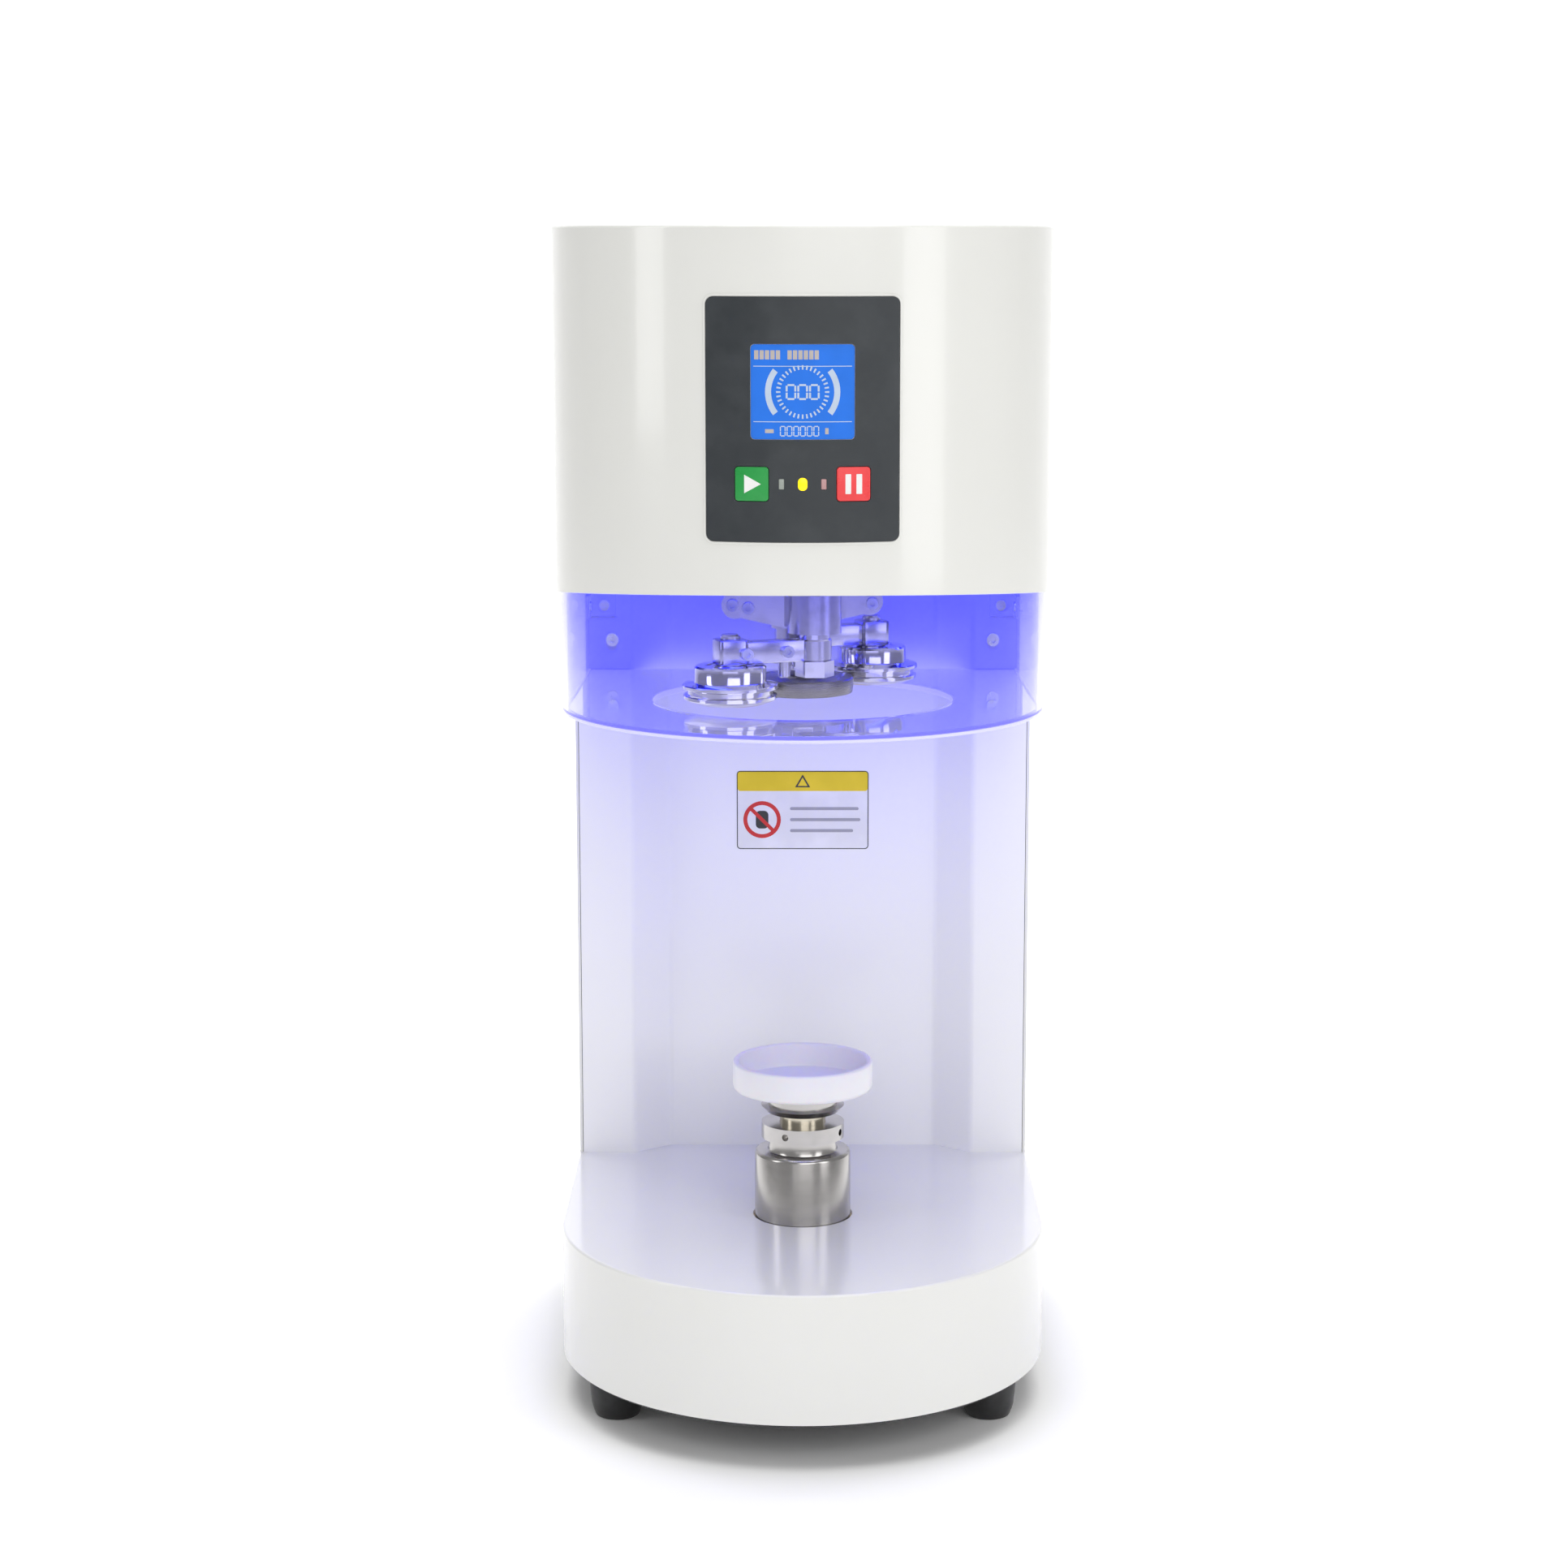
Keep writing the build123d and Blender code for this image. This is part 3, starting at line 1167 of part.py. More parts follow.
def lift_pulley(at):
    """Pulley of the lift drive."""
    return pulley(LIFT_PULLEY_TEETH, LIFT_PULLEY_Z, LIFT_PULLEY_TOP - LIFT_PULLEY_Z, at, 0.0)


def make_lift_motor_pulley():
    """Pulley on the lift motor."""
    at = (0, LIFT_MOTOR_Y)
    stub = LIFT_PULLEY_TOP + LIFT_MOTOR_HEIGHT / 2
    return lift_pulley(at) + disc(MOTOR_SHAFT_R, LIFT_PULLEY_TOP, stub, at)


def make_lift_bracket():
    """Bracket of the lift motor and the screw bearing."""
    x = LIFT_MOTOR_SIZE / 2
    y_span = (LIFT_MOTOR_Y - x, LIFT_MOTOR_Y + x)
    tongue = LIFT_TONGUE_WIDTH / 2
    plate_low = LIFT_PULLEY_TOP + PART_GAP
    bracket = disc(SCREW_BEARING_R, PLATE_TOP, PLATE_TOP + SCREW_BEARING_HEIGHT, (0, CUP_Y))
    bracket += block((-tongue, tongue), (CUP_Y, y_span[1]), (PLATE_TOP, PLATE_TOP + LIFT_BRACKET_SHEET))
    bracket += block((-x, x), y_span, (plate_low, plate_low + LIFT_BRACKET_SHEET))
    bracket += block((-x, x), (y_span[1] - LIFT_BRACKET_SHEET, y_span[1]), (PLATE_TOP, plate_low))
    bore = SCREW_R + RUNNING_CLEARANCE
    bracket -= disc(bore, PLATE_TOP - CUT, PLATE_TOP + SCREW_BEARING_HEIGHT + CUT, (0, CUP_Y))
    plate_high = plate_low + LIFT_BRACKET_SHEET
    return bracket - disc(MOTOR_SHAFT_R + MOTOR_RIM, plate_low - CUT, plate_high + CUT, (0, LIFT_MOTOR_Y))


def make_lift_motor():
    """Motor of the lift."""
    x = LIFT_MOTOR_SIZE / 2
    low = LIFT_PULLEY_TOP + PART_GAP + LIFT_BRACKET_SHEET
    motor = block((-x, x), (LIFT_MOTOR_Y - x, LIFT_MOTOR_Y + x), (low, low + LIFT_MOTOR_HEIGHT))
    motor = chamfer(motor.edges().filter_by(Axis.Z), LIFT_MOTOR_CHAMFER)
    bore = MOTOR_SHAFT_R + RUNNING_CLEARANCE
    return motor - disc(bore, low - CUT, low + LIFT_MOTOR_HEIGHT * LIFT_SHAFT_SHARE, (0, LIFT_MOTOR_Y))


# ---- electrics ----
def inlet_body(gap):
    """Body of the power inlet behind its flange, or its cut-out."""
    x = INLET_WIDTH / 2 - INLET_BODY_INSET + gap
    z = INLET_HEIGHT / 2 - INLET_BODY_INSET / 2 + gap
    depth = (BACK_Y - INLET_BODY_DEPTH - gap, BACK_Y + (CUT if gap else 0.0))
    return block((-x, x), depth, (INLET_Z - z, INLET_Z + z))


def make_inlet():
    """Power inlet with its socket, pins and rocker pocket."""
    x = INLET_WIDTH / 2
    z = INLET_HEIGHT / 2
    body = inlet_body(0.0)
    body += block((-x, x), (BACK_Y, BACK_Y + INLET_FLANGE), (INLET_Z - z, INLET_Z + z))
    face = BACK_Y + INLET_FLANGE
    half_w = SOCKET_WIDTH / 2
    half_h = SOCKET_HEIGHT / 2
    body -= block((SOCKET_X - half_w, SOCKET_X + half_w), (face - SOCKET_DEPTH, face + CUT),
                  (INLET_Z - half_h, INLET_Z + half_h))
    start = face - SOCKET_DEPTH
    for place in (-1, 0, 1):
        x = SOCKET_X + place * SOCKET_PIN_SPACING
        z = INLET_Z - SOCKET_PIN_OFFSET if place else INLET_Z + SOCKET_PIN_OFFSET
        x_span = (x - SOCKET_PIN_WIDTH / 2, x + SOCKET_PIN_WIDTH / 2)
        z_span = (z - SOCKET_PIN_HEIGHT / 2, z + SOCKET_PIN_HEIGHT / 2)
        body += block(x_span, (start, start + SOCKET_PIN_LENGTH), z_span)
    half_w = ROCKER_WIDTH / 2 + PART_GAP
    half_h = ROCKER_HEIGHT / 2 + ROCKER_GAP
    pocket = face - ROCKER_DEPTH - ROCKER_ROOM
    body -= block((ROCKER_X - half_w, ROCKER_X + half_w), (pocket, face + CUT),
                  (INLET_Z - half_h, INLET_Z + half_h))
    return body - rocker_pin(ROCKER_PIN_R + RUNNING_CLEARANCE, PART_GAP)


def rocker_axis_y():
    """Depth of the rocker's pivot."""
    return BACK_Y + INLET_FLANGE - ROCKER_DEPTH / 2


def rocker_pin(radius, extra):
    """Pivot pin across the rocker, or its hole."""
    reach = ROCKER_WIDTH / 2 + ROCKER_PIN_REACH + extra
    return along(radius, (ROCKER_X - reach, rocker_axis_y(), INLET_Z), (1, 0, 0), 2 * reach)


def make_rocker():
    """Rocker of the power switch."""
    pivot = rocker_axis_y()
    half_h = ROCKER_HEIGHT / 2
    crown = BACK_Y + INLET_FLANGE
    dip = half_h * tan(radians(ROCKER_TILT))
    rise = crown - ROCKER_SINK
    tail = pivot - ROCKER_TAIL
    points = [(tail, INLET_Z - half_h + ROCKER_TAPER), (rise, INLET_Z - half_h), (rise - dip, INLET_Z)]
    points += [(rise, INLET_Z + half_h), (tail, INLET_Z + half_h - ROCKER_TAPER)]
    body = side_prism(points, ROCKER_X - ROCKER_WIDTH / 2, ROCKER_X + ROCKER_WIDTH / 2)
    body += rocker_pin(ROCKER_PIN_R, 0.0)
    return Pos(0, pivot, INLET_Z) * Rot(ROCKER_TILT, 0, 0) * Pos(0, -pivot, -INLET_Z) * body


def fitted_span():
    """Front and back of what stands on the bottom plate."""
    front = ARC_Y + FITTED_FRONT
    return front, front + FITTED_LENGTH


def make_power_supply():
    """Power supply in the base."""
    x = HALF - FITTED_INSET
    return block((-x, -x + SUPPLY_WIDTH), fitted_span(), (PLATE_TOP, PLATE_TOP + SUPPLY_HEIGHT))


def make_driver_board():
    """Motor driver board in the base."""
    x = HALF - FITTED_INSET
    front, back = fitted_span()
    low = PLATE_TOP + DRIVER_RISE
    inset = 2 * BOARD_LEG_INSET
    board = block((x - DRIVER_WIDTH, x), (front, back), (low, low + BOARD_THICKNESS))
    sink = (x - DRIVER_WIDTH + inset, x - DRIVER_WIDTH + inset + HEAT_SINK_WIDTH)
    board += block(sink, (front + inset, front + inset + HEAT_SINK_LENGTH), (low, low + HEAT_SINK_HEIGHT))
    capacitor = (x - CAPACITOR_R - BOARD_LEG_INSET, back - HEAT_SINK_LENGTH)
    board += disc(CAPACITOR_R, low, low + CAPACITOR_HEIGHT, capacitor)
    for leg_x in (x - DRIVER_WIDTH + BOARD_LEG_INSET, x - BOARD_LEG_INSET):
        for leg_y in (front + BOARD_LEG_INSET, back - BOARD_LEG_INSET):
            board += disc(BOARD_LEG_R, PLATE_TOP, low, (leg_x, leg_y))
    return board


# ---- every node ----
NODES = {
    "base_shell": make_base_shell,
    "base_bottom_plate": make_bottom_plate,
    "rubber_feet": make_feet,
    "column_front_panel": make_column_panel,
    "column_rear_cover": make_column_cover,
    "column_posts": make_posts,
    "cover_screws": make_cover_screws,
    "head_cover": make_head_cover,
    "head_deck": make_deck,
    "led_strip": make_led_strip,
    "spindle_housing": make_housing,
    "spindle_bearings": make_bearings,
    "head_bridge": make_bridge,
    "centre_shaft": make_centre_shaft,
    "seaming_chuck": make_chuck,
    "head_motor": make_head_motor,
    "drive_pulleys": make_drive_pulleys,
    "timing_belts": make_belts,
    "turret_spindle": make_spindle,
    "turret_pulley": make_turret_pulley,
    "turret_crosshead": make_crosshead,
    "turret_screws": make_turret_screws,
    "return_springs": make_springs,
    "closing_cam": make_cam,
    "guard_wall": make_guard_wall,
    "guard_floor": make_guard_floor,
    "guard_brackets": make_guard_brackets,
    "guard_screws": make_guard_screws,
    "control_overlay": make_overlay,
    "display_window": make_window,
    "indicator_lights": make_lamps,
    "control_board": make_control_board,
    "lift_guide_bush": make_bush,
    "lift_cylinder": make_cylinder,
    "lift_nut": make_nut,
    "lock_ring": make_lock_ring,
    "tray_stem": make_stem,
    "cup_tray": make_tray,
    "lead_screw": make_lead_screw,
    "lift_motor_pulley": make_lift_motor_pulley,
    "lift_bracket": make_lift_bracket,
    "lift_motor": make_lift_motor,
    "power_inlet": make_inlet,
    "power_rocker": make_rocker,
    "power_supply": make_power_supply,
    "driver_board": make_driver_board,
}


def one_piece(piece):
    """A child for a group: the bare solid where there is only one."""
    return Part(piece.wrapped) if len(piece.solids()) > 1 else piece.solid()


def save(name, shape):
    """Write one node, a single solid or a group of them."""
    if isinstance(shape, list):
        shape = Compound(children=[one_piece(piece) for piece in shape])
    export_step(shape, f"parts/{name}.step")


def main():
    """Build and write every node."""
    os.makedirs("parts", exist_ok=True)
    for name, make in NODES.items():
        save(name, make())
    for name in PIVOTS:
        save(f"{name}_arm", make_arm(name))
        save(f"{name}_arm_screws", make_arm_screws(name))
        save(f"{name}_arm_shaft", make_arm_shaft(name))
        save(f"{name}_lever", make_lever(name))
        save(f"{name}_follower", make_follower(name))
        save(f"{name}_roller", make_roller(name))
    save("start_key", make_key(-KEY_ANGLE))
    save("stop_key", make_key(KEY_ANGLE))


main()
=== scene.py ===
"""Looks of the tabletop cup sealing machine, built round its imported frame."""

import logging
import math
from dataclasses import dataclass
from enum import Enum
from typing import Callable, Iterable, Sequence

import bmesh
import bpy
from mathutils import Matrix, Vector


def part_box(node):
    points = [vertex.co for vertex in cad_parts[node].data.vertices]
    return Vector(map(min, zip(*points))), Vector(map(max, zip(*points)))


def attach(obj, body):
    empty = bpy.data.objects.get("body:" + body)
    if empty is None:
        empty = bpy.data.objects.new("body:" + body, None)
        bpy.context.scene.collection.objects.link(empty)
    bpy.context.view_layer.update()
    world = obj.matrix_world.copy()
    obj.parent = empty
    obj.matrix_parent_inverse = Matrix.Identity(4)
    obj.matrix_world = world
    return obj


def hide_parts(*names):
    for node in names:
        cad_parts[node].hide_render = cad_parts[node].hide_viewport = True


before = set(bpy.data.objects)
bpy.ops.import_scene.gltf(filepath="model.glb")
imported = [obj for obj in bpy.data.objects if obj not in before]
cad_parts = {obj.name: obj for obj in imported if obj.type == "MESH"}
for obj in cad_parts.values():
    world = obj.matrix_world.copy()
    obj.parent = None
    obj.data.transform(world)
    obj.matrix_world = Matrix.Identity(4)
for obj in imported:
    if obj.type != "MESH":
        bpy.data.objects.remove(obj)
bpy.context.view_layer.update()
LOG = logging.getLogger("sealer")

MM = 0.001
FULL_TURN = 2.0 * math.pi
SHARP = 60.0  # degrees of turn over which an edge of a plain block is rounded
AIR = 0.02  # millimetres between pieces that face each other
TOUCH = 0.01  # millimetres within which an edge counts as lying on a face
STRIP_GAP = 0.004  # metres from the blue strip down to its lamps
Point = tuple[float, float, float]
Pair = tuple[float, float]
Mesh = bmesh.types.BMesh
Edge = bmesh.types.BMEdge
Socket = bpy.types.NodeSocket


class Slot(str, Enum):
    """Material slots of the record, passed along with new pieces."""

    ENAMEL = "white_enamel"
    RUBBER = "black_rubber"
    POLISHED = "polished_steel"
    SATIN = "satin_steel"
    DARK_STEEL = "dark_steel"
    ACRYLIC = "clear_acrylic"
    PANEL = "panel_film"
    DISPLAY = "display_glass"
    LAMP = "lamp_lens"
    TRAY = "tray_plastic"
    GREEN = "green_key"
    RED = "red_key"


class Body(str, Enum):
    """Bodies of the frame that new pieces ride on."""

    FRAME = "frame"
    LIFT = "lift"
    TRAY = "tray"
    FIRST_ARM = "first_arm_set"
    SECOND_ARM = "second_arm_set"
    FIRST_ROLLER = "first_roller_set"
    SECOND_ROLLER = "second_roller_set"
    START = "start"
    STOP = "stop"


# ---- finishes ----


class NodeSheet:
    """A material's node tree with short calls for the nodes this machine needs."""

    def __init__(self, name: str) -> None:
        """Start an empty material with a Principled shader.

        Args:
            name: The material's name.
        """
        self.material = bpy.data.materials.new(name)
        self.material.use_nodes = True
        self.nodes = self.material.node_tree.nodes
        self.links = self.material.node_tree.links
        self.shader = self.nodes["Principled BSDF"]
        self.coords = self.nodes.new("ShaderNodeTexCoord")

    def set(self, **values: object) -> None:
        """Set shader sockets.

        Args:
            values: One value for each socket; underscores in the names stand for spaces.
        """
        for key, value in values.items():
            self.shader.inputs[key.replace("_", " ")].default_value = value

    def noise(self, scale: float, detail: float = 3.0, stretch: Point = (1.0, 1.0, 1.0)) -> Socket:
        """Noise on Object coordinates.

        Args:
            scale: Spots per metre.
            detail: Octaves.
            stretch: Factor along each axis before the noise.

        Returns:
            The noise value socket.
        """
        mapping = self.nodes.new("ShaderNodeMapping")
        mapping.inputs["Scale"].default_value = stretch
        self.links.new(self.coords.outputs["Object"], mapping.inputs["Vector"])
        node = self.nodes.new("ShaderNodeTexNoise")
        node.inputs["Scale"].default_value = scale
        node.inputs["Detail"].default_value = detail
        self.links.new(mapping.outputs["Vector"], node.inputs["Vector"])
        return node.outputs["Fac"]

    def ramp(self, value: Socket, low: float, high: float, to_low: float, to_high: float,
             smooth: bool = False) -> Socket:
        """Map one range of a value onto another.

        Args:
            value: The value socket to map.
            low: Start of its range.
            high: End of its range.
            to_low: Result at the start.
            to_high: Result at the end.
            smooth: Ease in and out.

        Returns:
            The mapped value socket.
        """
        node = self.nodes.new("ShaderNodeMapRange")
        node.interpolation_type = "SMOOTHSTEP" if smooth else "LINEAR"
        for key, number in (("From Min", low), ("From Max", high), ("To Min", to_low), ("To Max", to_high)):
            node.inputs[key].default_value = number
        self.links.new(value, node.inputs["Value"])
        return node.outputs["Result"]

    def blend(self, share: Socket, first: Sequence[float], second: Sequence[float]) -> Socket:
        """Mix two colours by a value.

        Args:
            share: Value socket, 0 for the first colour and 1 for the second.
            first: Linear red, green and blue.
            second: Linear red, green and blue.

        Returns:
            The colour socket.
        """
        node = self.nodes.new("ShaderNodeMix")
        node.data_type = "RGBA"
        node.inputs["A"].default_value = (*first, 1.0)
        node.inputs["B"].default_value = (*second, 1.0)
        self.links.new(share, node.inputs["Factor"])
        return node.outputs["Result"]

    def height(self) -> Socket:
        """Height above the table.

        Returns:
            The value socket, in metres.
        """
        node = self.nodes.new("ShaderNodeSeparateXYZ")
        self.links.new(self.coords.outputs["Object"], node.inputs["Vector"])
        return node.outputs["Z"]

    def join(self, socket: Socket, name: str) -> None:
        """Link a socket to a shader input.

        Args:
            socket: The socket to link.
            name: The shader input's name.
        """
        self.links.new(socket, self.shader.inputs[name])

    def tone(self, value: Socket, low: float, high: float, first: Sequence[float], second: Sequence[float],
             most: float = 1.0) -> None:
        """Colour the surface between two colours by a pattern.

        Args:
            value: The pattern.
            low: Value where the first colour ends.
            high: Value where the second colour is full.
            first: Linear red, green and blue.
            second: Linear red, green and blue.
            most: Largest share of the second colour.
        """
        self.join(self.blend(self.ramp(value, low, high, 0.0, most, True), first, second), "Base Color")

    def rough(self, value: Socket, least: float, most: float, low: float = 0.3, high: float = 0.7) -> None:
        """Vary the roughness by a pattern.

        Args:
            value: The pattern.
            least: Roughness at the low value.
            most: Roughness at the high value.
            low: Value where the change starts.
            high: Value where it ends.
        """
        self.join(self.ramp(value, low, high, least, most), "Roughness")

    def bump(self, value: Socket, depth: float, strength: float = 0.5) -> None:
        """Raise the surface by a value.

        Args:
            value: Height pattern, 0 to 1.
            depth: Height of the pattern in metres.
            strength: How much of it shows.
        """
        node = self.nodes.new("ShaderNodeBump")
        node.inputs["Distance"].default_value = depth
        node.inputs["Strength"].default_value = strength
        self.links.new(value, node.inputs["Height"])
        self.links.new(node.outputs["Normal"], self.shader.inputs["Normal"])

    def pass_light(self, tint: Point) -> None:
        """Let lamps shine through the surface, tinted.

        Args:
            tint: Linear red, green and blue let through at each face.
        """
        rays = self.nodes.new("ShaderNodeLightPath")
        clear = self.nodes.new("ShaderNodeBsdfTransparent")
        clear.inputs["Color"].default_value = (*tint, 1.0)
        shown = self.shader.outputs[0]
        for kind in ("Is Shadow Ray", "Is Diffuse Ray"):
            either = self.nodes.new("ShaderNodeMixShader")
            self.links.new(rays.outputs[kind], either.inputs[0])
            self.links.new(shown, either.inputs[1])
            self.links.new(clear.outputs[0], either.inputs[2])
            shown = either.outputs[0]
        self.links.new(shown, self.nodes["Material Output"].inputs["Surface"])


@dataclass(frozen=True)
class Finish:
    """What every finish shares: a name, and how its material comes about."""

    name: str

    def material(self) -> bpy.types.Material:
        """Build the material.

        Returns:
            The new material.
        """
        sheet = NodeSheet(self.name)
        self.paint(sheet)
        return sheet.material

    def paint(self, sheet: NodeSheet) -> None:
        """Set the shader up; each kind of finish does this in its own way.

        Args:
            sheet: The material's node tree.
        """
        raise NotImplementedError

    @staticmethod
    def dimmed(colour: Point, share: float) -> Point:
        """Darken a colour.

        Args:
            colour: Linear red, green and blue.
            share: How much of it is left.

        Returns:
            The darker colour.
        """
        return tuple(part * share for part in colour)


@dataclass(frozen=True)
class Enamel(Finish):
    """Stove enamel on sheet steel, with a slight orange peel and faint handling marks."""

    colour: Point
    gloss: float = 0.2
    peel: float = 900.0
    soil: float = 0.012

    def paint(self, sheet: NodeSheet) -> None:
        """Set the shader up.

        Args:
            sheet: The material's node tree.
        """
        sheet.tone(sheet.noise(9.0), 0.35, 0.7, self.colour, self.dimmed(self.colour, 1.0 - self.soil))
        sheet.rough(sheet.noise(28.0, 4.0), self.gloss * 0.9, self.gloss * 1.12, 0.3, 0.75)
        sheet.set(Coat_Weight=0.35, Coat_Roughness=0.06, IOR=1.5)
        sheet.bump(sheet.noise(self.peel, 1.0), 0.00002, 0.25)


@dataclass(frozen=True)
class TurnedMetal(Finish):
    """Metal turned on a lathe, with fine feed marks round it."""

    colour: Point
    gloss: float = 0.22
    marks: float = 2600.0
    stain: Point = (0.8, 0.8, 0.8)

    def paint(self, sheet: NodeSheet) -> None:
        """Set the shader up.

        Args:
            sheet: The material's node tree.
        """
        darker = tuple(part * tint for part, tint in zip(self.colour, self.stain))
        sheet.tone(sheet.noise(120.0, 5.0), 0.45, 0.75, self.colour, darker, 0.6)
        rings = sheet.noise(self.marks, 2.0, (0.001, 0.001, 1.0))
        sheet.rough(rings, self.gloss * 0.85, self.gloss * 1.2)
        sheet.set(Metallic=1.0)
        sheet.bump(rings, 0.00001, 0.06)


@dataclass(frozen=True)
class Plating(Finish):
    """Zinc or milled metal: soft grain with patches of duller metal."""

    colour: Point
    gloss: float = 0.32
    grain: Point = (1.0, 1.0, 1.0)

    def paint(self, sheet: NodeSheet) -> None:
        """Set the shader up.

        Args:
            sheet: The material's node tree.
        """
        sheet.tone(sheet.noise(70.0, 4.0, self.grain), 0.35, 0.75, self.colour, self.dimmed(self.colour, 0.72))
        sheet.rough(sheet.noise(420.0, 3.0, self.grain), self.gloss * 0.8, self.gloss * 1.3)
        sheet.set(Metallic=1.0)
        sheet.bump(sheet.noise(900.0, 2.0, self.grain), 0.00002, 0.3)


@dataclass(frozen=True)
class Moulded(Finish):
    """Plastic or rubber with a moulded grain."""

    colour: Point
    gloss: float = 0.45
    grain: float = 1800.0
    depth: float = 0.00003
    sheen: float = 0.0

    def paint(self, sheet: NodeSheet) -> None:
        """Set the shader up.

        Args:
            sheet: The material's node tree.
        """
        worn = tuple(min(1.0, part * 1.12 + 0.01) for part in self.colour)
        sheet.tone(sheet.noise(45.0, 4.0), 0.4, 0.8, self.colour, worn)
        sheet.rough(sheet.noise(160.0, 3.0), self.gloss * 0.85, self.gloss * 1.2)
        sheet.set(Sheen_Weight=self.sheen)
        sheet.bump(sheet.noise(self.grain, 1.0), self.depth, 0.4)


@dataclass(frozen=True)
class TranslucentDish(Finish):
    """White nylon that lets a little light through."""

    colour: Point

    def paint(self, sheet: NodeSheet) -> None:
        """Set the shader up.

        Args:
            sheet: The material's node tree.
        """
        sheet.join(sheet.blend(sheet.noise(60.0), self.colour, self.dimmed(self.colour, 0.96)), "Base Color")
        sheet.rough(sheet.noise(240.0), 0.28, 0.42)
        sheet.set(Subsurface_Weight=0.35, Subsurface_Scale=0.004)
        sheet.bump(sheet.noise(2400.0, 1.0, (0.02, 0.02, 1.0)), 0.00001, 0.3)


@dataclass(frozen=True)
class ClearAcrylic(Finish):
    """Clear sheet whose colour darkens and turns blue towards the strip above it: painted blue light and shade, not a
    tint of the sheet.
    """

    low: float
    high: float
    foot: Point = (0.82, 0.82, 0.98)
    top: Point = (0.48, 0.48, 1.0)
    passed: Point = (0.46, 0.46, 1.0)
    glow: float = 0.0
    clear: float = 1.0

    def paint(self, sheet: NodeSheet) -> None:
        """Set the shader up.

        Args:
            sheet: The material's node tree.
        """
        # Painted blue light and shade: the sheet's colour darkens and turns blue by height towards the strip.
        sheet.tone(sheet.height(), self.low, self.high, self.foot, self.top)
        sheet.rough(sheet.noise(60.0), 0.01, 0.04, 0.5, 0.8)
        # The emission is a painted blue glow, used on the guard's edge pieces.
        sheet.set(Transmission_Weight=self.clear, IOR=1.2, Emission_Color=(0.40, 0.38, 1.0, 1.0),
                  Emission_Strength=self.glow)
        # Lamp light through the sheet is dimmed and turned blue: painted blue light and shade on what lies behind the
        # guard.
        sheet.pass_light(self.passed)


@dataclass(frozen=True)
class Lit(Finish):
    """Something that gives light of one colour, with a faint unevenness."""

    colour: Point
    strength: float
    gloss: float = 0.25

    def paint(self, sheet: NodeSheet) -> None:
        """Set the shader up.

        Args:
            sheet: The material's node tree.
        """
        tone = sheet.blend(sheet.noise(90.0, 2.0), self.colour, self.dimmed(self.colour, 0.8))
        sheet.join(tone, "Base Color")
        sheet.join(tone, "Emission Color")
        sheet.set(Emission_Strength=self.strength, Roughness=self.gloss)


